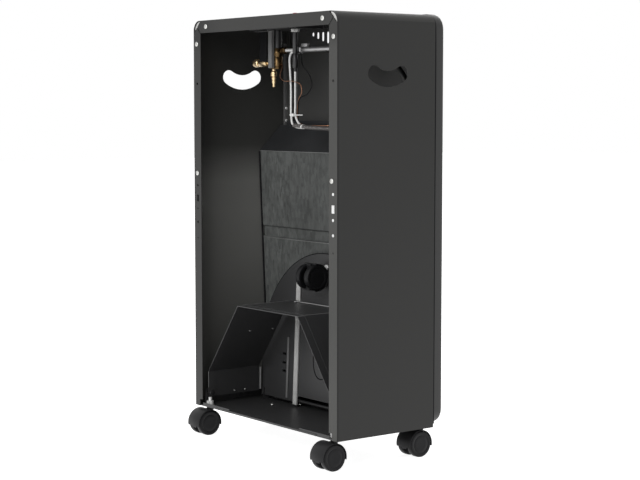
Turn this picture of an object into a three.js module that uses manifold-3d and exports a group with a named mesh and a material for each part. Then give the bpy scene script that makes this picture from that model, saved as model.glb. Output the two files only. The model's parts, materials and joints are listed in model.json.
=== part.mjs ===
// Portable gas cabinet heater, folded, with its rear cover off.
// Millimetres. X runs across the cabinet, +Y is the open rear, Z is up from the floor.
// Inside the frame group, Y is 0 at the rear of the cabinet sheet and Z is 0 at its lower edge.
import * as THREE from "three";
import { mergeVertices } from "three/addons/utils/BufferGeometryUtils.js";
import Module from "manifold-3d";

const wasm = await Module();
wasm.setup();

// Cabinet sheet
const cabinetWidth = 420;
const cabinetDepth = 204;
const cabinetHeight = 690;
const sheet = 1.2;
const halfWidth = cabinetWidth / 2;
const inside = halfWidth - sheet;
const cabinetRadius = 18; // outer radius of the two top edges
const rearFlange = 22;
const frontFlange = 12;
const flangeHoleRadius = 2.4;
const flangeHoleDrops = [111, 291.5, 357.5]; // from the top of the cabinet
const flangePilotRadius = 1.5;
const flangePilotDrops = [333, 386];
const flangeSlotDrops = [308.5, 320.5];
const flangeSlotHalf = 3;
const flangeNotch = [8, 12]; // lower inner corner of the rear flange, across and up
const cornerPlate = 20; // plate behind each cut-back corner
const cornerPlateSheet = 1.5;
const cornerChord = 20; // how far the rear flange is cut back at each top corner
const mitreSlit = 1.6;
const clearance = 0.3; // gap between neighbours that seat on each other

// Carrying handles, cut through both sides
const handleLobe = 13;
const handleArc = 51;
const handleHalfAngle = 34.5;
const handleDrop = 120.5; // from the top of the cabinet to the lowest point of the handle
const handleForward = 1.5; // of the middle of the side
const handleY = -cabinetDepth / 2 - handleForward;

// Floor pan
const panThickness = 1.2;
const panRise = 0.8;
const panUpstand = 12;
const tabHeight = 6.5;
const tabLength = 84;
const tabInset = 22;
const tabEnd = halfWidth - tabInset;
const earWall = 4; // metal round the pin in a hinge ear

// Front panel, a pressed tray
const bezelDepth = 21;
const bezelGap = 2;
const bezelRadius = 25;
const bezelEdge = 8;
const bezelInset = 1;
const bezelTop = 1.5;
const bezelBottom = 4;
const bezelSheet = 1;
const windowSide = 42; // from the window to the side of the cabinet
const windowWidth = cabinetWidth - 2 * windowSide;
const windowHeight = 236;
const windowDrop = 352; // from the top of the cabinet to the middle of the window
const windowCentre = cabinetHeight - windowDrop;
const windowRadius = 12;

// Air slots along the top of the front panel
const ventPairs = 11;
const ventMargin = 4.1;
const ventPitch = (windowWidth / 2 - ventMargin) / ventPairs;
const ventWidth = 6;
const ventDrop = 15.5;
const ventMiddleLength = 35.9;
const ventEndLength = 7.4;

// Burner behind the front panel
const plaqueCount = 3;
const plaqueMargin = 18; // from the window's edge to the first plaque's place
const plaquePitch = (windowWidth - 2 * plaqueMargin) / plaqueCount;
const plaqueGap = 4;
const plaqueWidth = plaquePitch - plaqueGap;
const plaqueHeight = 188;
const plaqueThickness = 12;
const plaqueRim = 5;
const plaqueDish = 1.5;
const plaqueSplit = 1.2;
const burnerWall = 3.5;
const burnerDepth = 39;
const burnerChamfer = 14;
const burnerFront = -cabinetDepth;
const burnerBack = burnerFront + burnerDepth;
const plaqueSeat = 16;
const plaqueBack = burnerFront + plaqueSeat;
const reflectorSheet = 0.8;
const reflectorMargin = 36;
const guardWire = 1.5; // radius of the wire
const guardWireCount = 11;
const guardPostCount = 4;
const reflectorInset = 10; // from the side of the cabinet to the reflector's plate

// Galvanised heat shield and draught hood
const shieldPlay = 0.8; // from the shield to the cabinet's sides
const shieldWidth = 2 * (inside - shieldPlay);
const shieldSheet = 0.8;
const shieldDrop = 231.5; // from the top of the cabinet
const shieldTop = cabinetHeight - shieldDrop;
const shieldStand = 63; // from the cabinet's front to the shield's top edge
const shieldTopY = -cabinetDepth + shieldStand;
const shieldBottom = 30;
const shieldLean = 0.042;
const bandDrop = 137.5;
const bandWidth = 22;
const bandHigh = shieldTop - bandDrop;
const bandLow = bandHigh - bandWidth;
const bandDepth = 4;
const hoodSheet = 1;
const hoodRise = 46.5; // above the shield
const hoodTop = shieldTop + hoodRise;
const hoodShelf = 16;
const hoodTopY = -cabinetDepth + hoodShelf;
const hoodLap = 9;

// Control tray let into the top
const trayX = 46;
const trayY = -84;
const trayWidth = 132;
const trayLength = 68;
const trayDrop = 17.5;
const traySheet = 1.2;
const trayRim = 4;

// Gas controls
const valveX = 75;
const valveY = -88;
const valveDrop = 50; // from the top of the cabinet
const valveTop = cabinetHeight - valveDrop;
const valveTall = 36;
const valveBottom = valveTop - valveTall;
const valveRadius = 8.5;
const valveNeck = 7;
const inletReach = 17;
const inletRadius = 7.5;
const inletZ = valveBottom + 11.5;
const outletReach = 19;
const outletRadius = 6;
const nozzleX = valveX + 12;
const nozzleSeat = 5;
const knobRadius = 18;
const knobHeight = 17;
const knobLift = 5;
const spindleRadius = 3;
const pushTravel = 4;
const igniterX = 12.6;
const igniterY = -80;
const igniterRadius = 4.6;
const igniterDrop = 91.4;
const igniterLow = cabinetHeight - igniterDrop;
const igniterNeck = 6.5;
const buttonRadius = 4.5;
const buttonProud = 8.5;
const buttonLength = 18.2;
const buttonTravel = 6;
const bracketWidth = 16.6;
const bracketSheet = 1.5;
const bracketFoot = 14;
const bracketLip = 4.5;
const bracketGap = 5;
const bracketWing = 21.6;
const bracketWingRise = 13;
const pipeRadius = 4.5;
const stubRadius = 3;
const pipeY = -92;
const pipeZ = valveTop - 4;
const pipeStart = valveX - 63;
const pipeInset = 34;
const pipeSideX = -halfWidth + pipeInset;
const pipeForward = 30; // from the cabinet's front
const pipeBack = -cabinetDepth + pipeForward;
const pipeLow = windowCentre - 6;
const leadRadius = 1.5;
const leadRise = 4;
const leadLow = hoodTop + leadRise;
const capillaryRadius = 0.9;
const pilotInset = 90;
const pilotX = -halfWidth + pilotInset;
const pilotForward = 32;
const pilotTall = 14;
const pilotY = -cabinetDepth + pilotForward;

// Bottle guard, a folded belt that swings out over the rear edge
const guardInset = 25.5;
const guardHalf = halfWidth - guardInset;
const guardSlope = 95;
const guardTopHalf = guardHalf - guardSlope;
const guardTop = 192;
const guardShoulder = 64;
const guardBottom = 17;
const guardRear = -10;
const guardEdge = 14; // depth of the stepped-in rear edge
const guardStep = 1;
const guardTab = 7.5;
const guardCorner = 7;
const guardBend = 6; // outer radius of its folds
const pinRadius = 3;
const pinHead = 5;
const pinHeadSheet = 1.5;
const earInset = 17;
const earX = halfWidth - earInset;

// Bottle platform, folded up against the heat shield
const platformInset = 30;
const platformHalf = halfWidth - platformInset;
const platformCastorHeight = 241.5; // from its hinge
const platformMargin = 27.5;
const platformTop = platformCastorHeight + platformMargin;
const platformSheet = 1.5;
const platformStud = 3.5;
const hingeForward = 75; // from the cabinet's front
const hingeY = -cabinetDepth + hingeForward;
const hingeZ = 12.5;
const hingeRod = 3;
const knuckle = 4.8;
const barrelHalf = 26;
const barrelX = platformHalf - 62;
const earGap = 8;
const railInset = 107.5;
const railX = platformHalf - railInset;
const railWidth = 11.5;
const railDepth = 3;
const railGroove = 1.2;
const railMargin = 19.5;
const railTop = platformCastorHeight - railMargin;
const padWidth = 42;
const padLow = 42;
const padMargin = 90;
const padHigh = platformCastorHeight - padMargin;
const notchHalf = railX - 5;
const notchHigh = 9.5;
const slotX = railX + 39;
const slotLength = 12;
const slotHeight = 4;
const slotLevels = [49.5, 64.5, 80.5];
const studGap = 10.3; // from the folded platform's castor stud to the heat shield
const guardLap = 8;
const guardFront = hingeY + guardLap;
const guardLip = 3; // upturned front edge of the guard's top

// Twin-wheel castors
const castorInset = 26;
const castorX = halfWidth - castorInset;
const castorRear = -14;
const castorForward = 7.5; // from the cabinet's front
const castorFront = -cabinetDepth + castorForward;
const castorHeight = 50.8;
const wheelRadius = 22;
const wheelSides = 20;
const wheelInner = 6.5;
const wheelOuter = 18.2;
const castorTrail = 12;
const castorNeck = 1.5; // from the plate down to the fender's neck
const fenderInner = 22.9;
const fenderOuter = 24.2;
const webHalf = 6;
const stemRadius = 3.5;
const shoulderRadius = 6;
const studRadius = 3;
const axleRadius = 2.5;

// Values worked out from the ones above
const panTop = panRise + panThickness;
const bezelRear = -cabinetDepth - bezelGap;
const bezelFront = bezelRear - bezelDepth;
const trayFloor = cabinetHeight - trayDrop;
const trayUnder = trayFloor - traySheet;
const castorAxle = wheelRadius - castorHeight; // from the plate that a castor is fixed to
const floorLevel = panRise - castorHeight;
const rearReach = castorRear + castorTrail + fenderOuter;
const burnerHalf = ((plaqueCount - 1) * plaquePitch + plaqueWidth) / 2 + clearance + burnerWall;
const burnerTall = plaqueHeight / 2 + clearance + burnerWall;

// Finishes
function finish(color, roughness, metalness) {
  return new THREE.MeshStandardMaterial({ color, roughness, metalness });
}
const blackPowder = finish(0x34343a, 0.6, 0.1);
const darkPowder = finish(0x232326, 0.65, 0.1);
const zinc = finish(0xb9babb, 0.35, 0.9);
const galvanised = finish(0x5c625f, 0.5, 0.7);
const aluminised = finish(0xa7a8a8, 0.45, 0.8);
const ceramic = finish(0xd8c9ae, 0.9, 0);
const chromeWire = finish(0xc9c9c9, 0.25, 1);
const brass = finish(0xb58a45, 0.35, 0.9);
const copper = finish(0x9a6a48, 0.4, 0.9);
const blackPlastic = finish(0x1f1f20, 0.5, 0);
const wheelPlastic = finish(0x2b2b2c, 0.45, 0);
const redPlastic = finish(0xb0232a, 0.4, 0);
const whiteSleeve = finish(0xeeeeea, 0.6, 0);
const nutWhite = finish(0xd9dadb, 0.45, 0.3);

// Solids

// A closed geometry as a solid that can be cut and joined.
function solid(geometry) {
  const bare = geometry.clone();
  bare.deleteAttribute("normal");
  bare.deleteAttribute("uv");
  const merged = mergeVertices(bare, 1e-4);
  const corners = merged.index.array;
  const triVerts = [];
  for (let i = 0; i < corners.length; i += 3) {
    const [a, b, c] = corners.slice(i, i + 3);
    if (a !== b && b !== c && c !== a) triVerts.push(a, b, c);
  }
  const vertProperties = new Float32Array(merged.attributes.position.array);
  const mesh = new wasm.Mesh({ numProp: 3, vertProperties, triVerts: new Uint32Array(triVerts) });
  return new wasm.Manifold(mesh);
}

// A solid back as a geometry with flat faces.
function geometryOf(manifold) {
  const mesh = manifold.getMesh();
  const geometry = new THREE.BufferGeometry();
  geometry.setAttribute("position", new THREE.BufferAttribute(mesh.vertProperties, 3));
  geometry.setIndex(new THREE.BufferAttribute(mesh.triVerts, 1));
  const flat = geometry.toNonIndexed();
  flat.computeVertexNormals();
  return flat;
}

function join(...pieces) {
  return pieces.reduce((whole, piece) => whole.add(piece));
}

function cut(body, ...tools) {
  return tools.reduce((left, tool) => left.subtract(tool), body);
}

// A block between two corners.
function block(x0, x1, y0, y1, z0, z1) {
  const box = new THREE.BoxGeometry(x1 - x0, y1 - y0, z1 - z0);
  box.translate((x0 + x1) / 2, (y0 + y1) / 2, (z0 + z1) / 2);
  return solid(box);
}

// An outline in X and Z, run along Y.
function prismY(outline, y0, y1, curveSegments = 3) {
  const run = new THREE.ExtrudeGeometry(outline, { depth: y1 - y0, bevelEnabled: false, curveSegments });
  run.rotateX(Math.PI / 2);
  run.translate(0, y1, 0);
  return solid(run);
}

// An outline in Y and Z, run along X.
const alongX = new THREE.Matrix4().makeBasis(
  new THREE.Vector3(0, 1, 0),
  new THREE.Vector3(0, 0, 1),
  new THREE.Vector3(1, 0, 0),
);
function prismX(outline, x0, x1, curveSegments = 3) {
  const run = new THREE.ExtrudeGeometry(outline, { depth: x1 - x0, bevelEnabled: false, curveSegments });
  run.applyMatrix4(alongX);
  run.translate(x0, 0, 0);
  return solid(run);
}

// An outline in X and Y, run up Z.
function prismZ(outline, z0, z1, curveSegments = 2) {
  const run = new THREE.ExtrudeGeometry(outline, { depth: z1 - z0, bevelEnabled: false, curveSegments });
  run.translate(0, 0, z0);
  return solid(run);
}

// Straight-sided outline through [u, v] corners.
function polygon(corners) {
  return new THREE.Shape(corners.map(([u, v]) => new THREE.Vector2(u, v)));
}

function rectangle(u0, u1, v0, v1, radius) {
  const shape = new THREE.Shape();
  shape.moveTo(u0 + radius, v0);
  shape.lineTo(u1 - radius, v0);
  shape.absarc(u1 - radius, v0 + radius, radius, -Math.PI / 2, 0);
  shape.lineTo(u1, v1 - radius);
  shape.absarc(u1 - radius, v1 - radius, radius, 0, Math.PI / 2);
  shape.lineTo(u0 + radius, v1);
  shape.absarc(u0 + radius, v1 - radius, radius, Math.PI / 2, Math.PI);
  shape.lineTo(u0, v0 + radius);
  shape.absarc(u0 + radius, v0 + radius, radius, Math.PI, 1.5 * Math.PI);
  return shape;
}

// A turned solid on the Z axis from [radius, height] points, low to high.
function turned(profile, sides = 16) {
  const points = profile.map(([r, h]) => new THREE.Vector2(r, h));
  const lathe = new THREE.LatheGeometry(points, sides, Math.PI / sides);
  lathe.rotateX(Math.PI / 2);
  return solid(lathe);
}

// A round bar on the Z axis.
function bar(radius, low, high, sides = 16) {
  return turned([[0, low], [radius, low], [radius, high], [0, high]], sides);
}

const quarter = 90;
function lieAlongX(piece) {
  return piece.rotate([0, quarter, 0]);
}

// A round section run along a smooth curve.
function tube(points, radius, sides, steps) {
  const path = new THREE.CatmullRomCurve3(points.map((p) => new THREE.Vector3(...p)), false, "centripetal");
  const section = new THREE.Shape();
  section.absarc(0, 0, radius, 0, 2 * Math.PI);
  const curveSegments = sides / 2;
  return solid(new THREE.ExtrudeGeometry(section, { steps, extrudePath: path, curveSegments }));
}

function part(name, shape, material) {
  const mesh = new THREE.Mesh(geometryOf(shape), material);
  mesh.name = name;
  return mesh;
}

// The inner line of a folded belt, a given distance inside its outer corners.
function inset(corners, distance) {
  const lines = [];
  for (let i = 0; i + 1 < corners.length; i += 1) {
    const [a, b] = [new THREE.Vector2(...corners[i]), new THREE.Vector2(...corners[i + 1])];
    const along = b.clone().sub(a).normalize();
    const inward = new THREE.Vector2(along.y, -along.x).multiplyScalar(distance);
    lines.push({ start: a.clone().add(inward), end: b.clone().add(inward), along });
  }
  const inner = [lines[0].start];
  for (let i = 0; i + 1 < lines.length; i += 1) {
    const [one, two] = [lines[i], lines[i + 1]];
    const gap = two.start.clone().sub(one.start);
    const reach = gap.cross(two.along) / one.along.cross(two.along);
    inner.push(one.start.clone().addScaledVector(one.along, reach));
  }
  inner.push(lines[lines.length - 1].end);
  return inner.map((p) => [p.x, p.y]);
}

// The same corners with each fold rounded.
function folded(corners, radius) {
  const points = corners.map((corner) => new THREE.Vector2(...corner));
  const line = [corners[0]];
  for (let i = 1; i + 1 < points.length; i += 1) {
    const [before, at, after] = points.slice(i - 1, i + 2);
    const into = at.clone().sub(before).normalize();
    const out = after.clone().sub(at).normalize();
    const reach = radius * Math.tan(Math.acos(into.dot(out)) / 2);
    const [start, end] = [at.clone().addScaledVector(into, -reach), at.clone().addScaledVector(out, reach)];
    const bend = new THREE.QuadraticBezierCurve(start, at, end);
    line.push(...bend.getPoints(3).map((p) => [p.x, p.y]));
  }
  line.push(corners[corners.length - 1]);
  return line;
}

// Cabinet

// Outline of the cabinet's bent sheet, two sides and a top, open below.
function archOutline(half, top, radius) {
  const shape = new THREE.Shape();
  shape.moveTo(-half, 0);
  shape.lineTo(half, 0);
  shape.lineTo(half, top - radius);
  shape.absarc(half - radius, top - radius, radius, 0, Math.PI / 2);
  shape.lineTo(-half + radius, top);
  shape.absarc(-half + radius, top - radius, radius, Math.PI / 2, Math.PI);
  return shape;
}

// The handle is a slot of even width bent into a smile.
function handleOutline() {
  const angle = THREE.MathUtils.degToRad(handleHalfAngle);
  const low = 1.5 * Math.PI - angle;
  const high = 1.5 * Math.PI + angle;
  const centreZ = cabinetHeight - handleDrop + handleArc + handleLobe;
  const shape = new THREE.Shape();
  shape.absarc(handleY, centreZ, handleArc + handleLobe, low, high);
  const right = [handleY + handleArc * Math.cos(high), centreZ + handleArc * Math.sin(high)];
  shape.absarc(right[0], right[1], handleLobe, high, high + Math.PI);
  shape.absarc(handleY, centreZ, handleArc - handleLobe, high, low, true);
  const left = [handleY + handleArc * Math.cos(low), centreZ + handleArc * Math.sin(low)];
  shape.absarc(left[0], left[1], handleLobe, low + Math.PI, low + 2 * Math.PI);
  return shape;
}

function cabinetWrap() {
  const outer = archOutline(halfWidth, cabinetHeight, cabinetRadius);
  const inner = archOutline(inside, cabinetHeight - sheet, cabinetRadius - sheet);
  const full = prismY(outer, -cabinetDepth, 0, 6);
  const core = prismY(inner, -cabinetDepth + sheet, -sheet, 6);
  const rearHalf = halfWidth - rearFlange;
  const rearTop = cabinetHeight - rearFlange;
  const rearHole = block(-rearHalf, rearHalf, -2 * sheet, sheet, -sheet, rearTop);
  const frontHalf = halfWidth - frontFlange;
  const frontTop = cabinetHeight - frontFlange;
  const frontHole = block(-frontHalf, frontHalf, -cabinetDepth - sheet, -cabinetDepth + 2 * sheet, -sheet, frontTop);
  const under = block(-inside, inside, -cabinetDepth + sheet, -sheet, -sheet, sheet);
  let wrap = cut(full, core, rearHole, frontHole, under);
  wrap = cut(wrap, prismX(handleOutline(), -halfWidth - 1, halfWidth + 1, 4));
  const [across, up] = flangeNotch;
  for (const side of [-1, 1]) {
    const [a, b] = [side * (rearHalf - 1), side * (rearHalf + across)];
    const notch = block(Math.min(a, b), Math.max(a, b), -2 * sheet, sheet, -sheet, up);
    wrap = cut(wrap, cornerRelief(side), notch, ...flangeHoles(side));
  }
  const [tx0, tx1] = [trayX - trayWidth / 2, trayX + trayWidth / 2];
  const [ty0, ty1] = [trayY - trayLength / 2, trayY + trayLength / 2];
  const play = clearance;
  const mouth = block(tx0 - play, tx1 + play, ty0 - play, ty1 + play, cabinetHeight - 2 * sheet, cabinetHeight + 1);
  return part("cabinet_wrap", cut(wrap, mouth), blackPowder);
}

// The rear flange stops short of each top corner and is slit on the mitre.
function cornerRelief(side) {
  const cornerX = side * inside;
  const cornerZ = cabinetHeight - sheet;
  const lens = [
    [cornerX, cornerZ],
    [cornerX - side * cornerChord, cornerZ],
    [cornerX, cornerZ - cornerChord],
  ];
  const arch = archOutline(inside, cabinetHeight - sheet, cabinetRadius - sheet);
  const opening = prismY(polygon(side > 0 ? lens : [lens[0], lens[2], lens[1]]), -sheet - 1, 1);
  const slitLength = rearFlange * 1.6;
  const slit = block(-slitLength, 1, -sheet - 1, 1, -mitreSlit / 2, mitreSlit / 2);
  const turnedSlit = slit.rotate([0, side > 0 ? -45 : 225, 0]);
  const slitAt = turnedSlit.translate([side * (halfWidth - cornerChord / 2), 0, cabinetHeight - cornerChord / 2]);
  return prismY(arch, -sheet - 1, 1).intersect(join(opening, slitAt));
}

// Fixing holes for the rear cover: round holes, a slot and its small neighbours.
function flangeHoles(side) {
  const x = side * (halfWidth - rearFlange / 2);
  const drilled = (radius, drops) => {
    const drill = bar(radius, -sheet - 1, 1, 8).rotate([quarter, 0, 0]);
    return drops.map((drop) => drill.translate([x, -sheet / 2, cabinetHeight - drop]));
  };
  const holes = [...drilled(flangeHoleRadius, flangeHoleDrops), ...drilled(flangePilotRadius, flangePilotDrops)];
  const [high, low] = flangeSlotDrops.map((drop) => cabinetHeight - drop);
  return [...holes, block(x - flangeSlotHalf, x + flangeSlotHalf, -sheet - 1, 1, low, high)];
}

function cornerGusset(name, side) {
  const x1 = inside - clearance;
  const z1 = cabinetHeight - sheet - clearance;
  const corner = cabinetRadius - sheet - clearance;
  const shape = new THREE.Shape();
  shape.moveTo(x1 - cornerPlate, z1 - cornerPlate);
  shape.lineTo(x1, z1 - cornerPlate);
  shape.lineTo(x1, z1 - corner);
  shape.absarc(x1 - corner, z1 - corner, corner, 0, Math.PI / 2);
  shape.lineTo(x1 - cornerPlate, z1);
  const back = -sheet - clearance;
  const plate = prismY(shape, back - cornerPlateSheet, back, 6);
  return part(name, side > 0 ? plate : plate.mirror([1, 0, 0]), zinc);
}

function floorPan() {
  const edge = inside - clearance;
  const rear = -sheet - clearance;
  const front = -cabinetDepth + sheet + clearance;
  const plate = block(-edge, edge, front, rear, panRise, panTop);
  const pieces = [plate];
  for (const side of [-1, 1]) {
    const [a, b] = [side * (edge - panThickness), side * edge];
    pieces.push(block(Math.min(a, b), Math.max(a, b), front, rear, panRise, panTop + panUpstand));
    const [t0, t1] = [side * (tabEnd - tabLength), side * tabEnd];
    pieces.push(block(Math.min(t0, t1), Math.max(t0, t1), rear - panThickness, rear, panRise, tabHeight));
    pieces.push(hingeEar(side * (earX + panThickness / 2), guardRear - guardCorner, guardBottom + guardCorner, pinRadius));
    pieces.push(hingeEar(side * (platformHalf - earGap), hingeY, hingeZ, hingeRod));
  }
  const lip = block(-edge, edge, rear - panThickness, rear, 0, panTop);
  const frontWall = block(-inside + frontFlange, inside - frontFlange, -cabinetDepth, -cabinetDepth + panThickness, panRise, panTop + panUpstand);
  const frontShelf = block(-inside + frontFlange, inside - frontFlange, -cabinetDepth, front + 1, panRise, panTop);
  let pan = join(...pieces, lip, frontWall, frontShelf);
  for (const x of [-castorX, castorX]) {
    for (const y of [castorRear, castorFront]) {
      const hole = bar(studRadius + 1.5 * clearance, panRise - 1, panTop + 1).translate([x, y, 0]);
      const nutRoom = bar(shoulderRadius + 1, panTop, panTop + 8).translate([x, y, 0]);
      pan = cut(pan, hole, nutRoom);
    }
  }
  for (const side of [-1, 1]) {
    const bore = lieAlongX(bar(pinRadius + 1.5 * clearance, -5, 5));
    pan = cut(pan, bore.translate([side * (earX + panThickness / 2), guardRear - guardCorner, guardBottom + guardCorner]));
    const rodBore = lieAlongX(bar(hingeRod + 1.5 * clearance, -5, 5));
    pan = cut(pan, rodBore.translate([side * (platformHalf - earGap), hingeY, hingeZ]));
  }
  return part("floor_pan", pan, darkPowder);
}

// An upright ear on the pan, round about the pin that it carries.
function hingeEar(x, y, z, pin) {
  const round = pin + earWall;
  const shape = new THREE.Shape();
  shape.moveTo(y - round, panRise);
  shape.lineTo(y + round, panRise);
  shape.lineTo(y + round, z);
  shape.absarc(y, z, round, 0, Math.PI);
  return prismX(shape, x - panThickness / 2, x + panThickness / 2);
}

// Front panel: a pressed tray with a rolled front edge, a window and air slots.
function bezelShell(shrink) {
  const half = halfWidth - bezelInset - shrink;
  const edge = bezelEdge - shrink;
  const low = bezelBottom + shrink;
  const high = cabinetHeight + bezelTop - shrink;
  const outline = rectangle(-half, half, low, high, bezelRadius - shrink);
  const depth = 2 * bezelDepth;
  const pressed = new THREE.ExtrudeGeometry(outline, {
    depth,
    bevelThickness: edge,
    bevelSize: edge,
    bevelOffset: -edge,
    bevelSegments: 3,
    curveSegments: 3,
  });
  pressed.rotateX(Math.PI / 2);
  pressed.translate(0, bezelFront + shrink + edge + depth, 0);
  return solid(pressed);
}

function ventSlots() {
  const slots = [];
  const top = cabinetHeight - ventDrop;
  const half = ventWidth / 2;
  const last = (ventPairs - 0.5) * ventPitch;
  for (let i = 0; i < ventPairs; i += 1) {
    const x = (i + 0.5) * ventPitch;
    const length = ventMiddleLength - (ventMiddleLength - ventEndLength) * (x / last) ** 2;
    for (const middle of [-x, x]) {
      const outline = rectangle(middle - half, middle + half, top - length, top, half - 0.01);
      slots.push(prismY(outline, bezelFront - 1, bezelFront + bezelSheet + 1, 1));
    }
  }
  return slots;
}

function frontPanel() {
  const behind = block(-cabinetWidth, cabinetWidth, bezelRear, 0, -cabinetHeight, 2 * cabinetHeight);
  const outline = rectangle(
    -windowWidth / 2,
    windowWidth / 2,
    windowCentre - windowHeight / 2,
    windowCentre + windowHeight / 2,
    windowRadius,
  );
  const opening = prismY(outline, bezelFront - 1, bezelFront + bezelSheet + 1, 2);
  return part("front_panel", cut(bezelShell(0), bezelShell(bezelSheet), behind, opening, ...ventSlots()), blackPowder);
}

// Burner

// Half sizes of the flare's opening at a given depth.
function flareAt(y) {
  const back = [burnerHalf - burnerWall, burnerTall - burnerWall];
  const front = [windowWidth / 2 - 1, windowHeight / 2 - 1];
  const share = (y - burnerFront + clearance) / (bezelFront + bezelSheet + 2 * clearance - burnerFront);
  return back.map((size, i) => size + (front[i] - size) * share);
}

// A flared frame from the window back to the burner, with its fixing plate.
function reflector() {
  const plateBack = burnerFront - clearance;
  const plateFront = plateBack - reflectorSheet;
  const lip = bezelFront + bezelSheet + clearance;
  const plateHalf = halfWidth - reflectorInset;
  const tall = windowHeight / 2 + reflectorMargin / 2;
  const plate = block(-plateHalf, plateHalf, plateFront, plateBack, windowCentre - tall, windowCentre + tall);
  const flare = (grow) => {
    const back = [burnerHalf - burnerWall + grow, burnerTall - burnerWall + grow];
    const front = [windowWidth / 2 - 1 + grow, windowHeight / 2 - 1 + grow];
    return frustum(back, front, plateBack + grow, lip - grow).translate([0, 0, windowCentre]);
  };
  const wall = flare(reflectorSheet).intersect(block(-plateHalf, plateHalf, lip, plateBack, 0, cabinetHeight));
  return part("reflector", cut(join(plate, wall), flare(0)), aluminised);
}

// A four-sided tapered block along Y between two half sizes in X and Z.
function frustum(back, front, yBack, yFront) {
  const ring = ([hx, hz], y) => [[-hx, y, -hz], [hx, y, -hz], [hx, y, hz], [-hx, y, hz]];
  const points = [...ring(front, yFront), ...ring(back, yBack)].flat();
  const faces = [0, 1, 2, 0, 2, 3, 4, 6, 5, 4, 7, 6];
  for (let i = 0; i < 4; i += 1) {
    const next = (i + 1) % 4;
    faces.push(i, i + 4, next, next, i + 4, next + 4);
  }
  const geometry = new THREE.BufferGeometry();
  geometry.setAttribute("position", new THREE.Float32BufferAttribute(points, 3));
  geometry.setIndex(faces);
  return solid(geometry);
}

function burnerBox() {
  const low = windowCentre - burnerTall;
  const high = windowCentre + burnerTall;
  const chamfer = burnerChamfer;
  const profile = polygon([
    [burnerFront, low],
    [burnerBack - chamfer, low],
    [burnerBack, low + chamfer],
    [burnerBack, high - chamfer],
    [burnerBack - chamfer, high],
    [burnerFront, high],
  ]);
  let box = prismX(profile, -burnerHalf, burnerHalf);
  for (const x of plaquePlaces()) {
    const half = plaqueWidth / 2 + clearance;
    const tall = plaqueHeight / 2 + clearance;
    const floor = plaqueBack + clearance;
    box = cut(box, block(x - half, x + half, burnerFront - 1, floor, windowCentre - tall, windowCentre + tall));
  }
  return part("burner_box", box, aluminised);
}

function plaquePlaces() {
  return Array.from({ length: plaqueCount }, (_, i) => (i - (plaqueCount - 1) / 2) * plaquePitch);
}

function ceramicPlaques() {
  return plaquePlaces().map((x, i) => {
    const half = plaqueWidth / 2;
    const tall = plaqueHeight / 2;
    const face = plaqueBack - plaqueThickness;
    const rim = plaqueRim;
    const slab = block(x - half, x + half, face, plaqueBack, windowCentre - tall, windowCentre + tall);
    const [low, high] = [windowCentre - tall, windowCentre + tall];
    const dish = block(x - half + rim, x + half - rim, face - 1, face + plaqueDish, low + rim, high - rim);
    const middle = plaqueSplit / 2;
    const split = block(x - half, x + half, face - 1, face + 2 * middle, windowCentre - middle, windowCentre + middle);
    return part(`ceramic_plaque_${i + 1}`, cut(slab, dish, split), ceramic);
  });
}

// Wire guard over the window: bowed level wires welded to upright ones.
function wireGuard() {
  const y = bezelFront + 2 * guardWire;
  const [half, tall] = flareAt(y + guardWire).map((size) => size - 1.5 * clearance);
  const frame = cut(
    prismY(rectangle(-half, half, windowCentre - tall, windowCentre + tall, windowRadius - 2), y - guardWire, y + guardWire, 2),
    prismY(rectangle(-half + 3, half - 3, windowCentre - tall + 3, windowCentre + tall - 3, windowRadius - 4), y - 5, y + 5, 2),
  );
  const pieces = [frame];
  for (let i = 1; i <= guardWireCount; i += 1) {
    const z = windowCentre - tall + (2 * tall * i) / (guardWireCount + 1);
    pieces.push(lieAlongX(bar(guardWire, -half + 1, half - 1, 6)).translate([0, y - guardWire, z]));
  }
  for (let i = 1; i <= guardPostCount; i += 1) {
    const x = -half + (2 * half * i) / (guardPostCount + 1);
    pieces.push(bar(guardWire, windowCentre - tall + 1, windowCentre + tall - 1, 6).translate([x, y + 0.4, 0]));
  }
  return part("wire_guard", join(...pieces), chromeWire);
}

// Heat shield: a leaning galvanised sheet with a recessed band and side walls.
function shieldY(z) {
  return shieldTopY - shieldLean * (shieldTop - z);
}

function heatShield() {
  const half = shieldWidth / 2;
  const step = 3;
  const line = [
    [shieldY(shieldBottom), shieldBottom],
    [shieldY(bandLow), bandLow],
    [shieldY(bandLow + step) - bandDepth, bandLow + step],
    [shieldY(bandHigh - step) - bandDepth, bandHigh - step],
    [shieldY(bandHigh), bandHigh],
    [shieldTopY, shieldTop],
  ];
  const front = -cabinetDepth + sheet + clearance;
  const outer = prismX(polygon([[front, shieldBottom], ...line, [front, shieldTop]]), -half, half);
  const past = 10;
  const behind = line.map(([y, z]) => [y - shieldSheet, z]);
  behind[0] = [shieldY(shieldBottom - past) - shieldSheet, shieldBottom - past];
  behind[behind.length - 1] = [shieldTopY + past * shieldLean - shieldSheet, shieldTop + past];
  const room = polygon([[front - past, shieldBottom - past], ...behind, [front - past, shieldTop + past]]);
  return part("heat_shield", cut(outer, prismX(room, -half + shieldSheet, half - shieldSheet)), galvanised);
}

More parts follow.
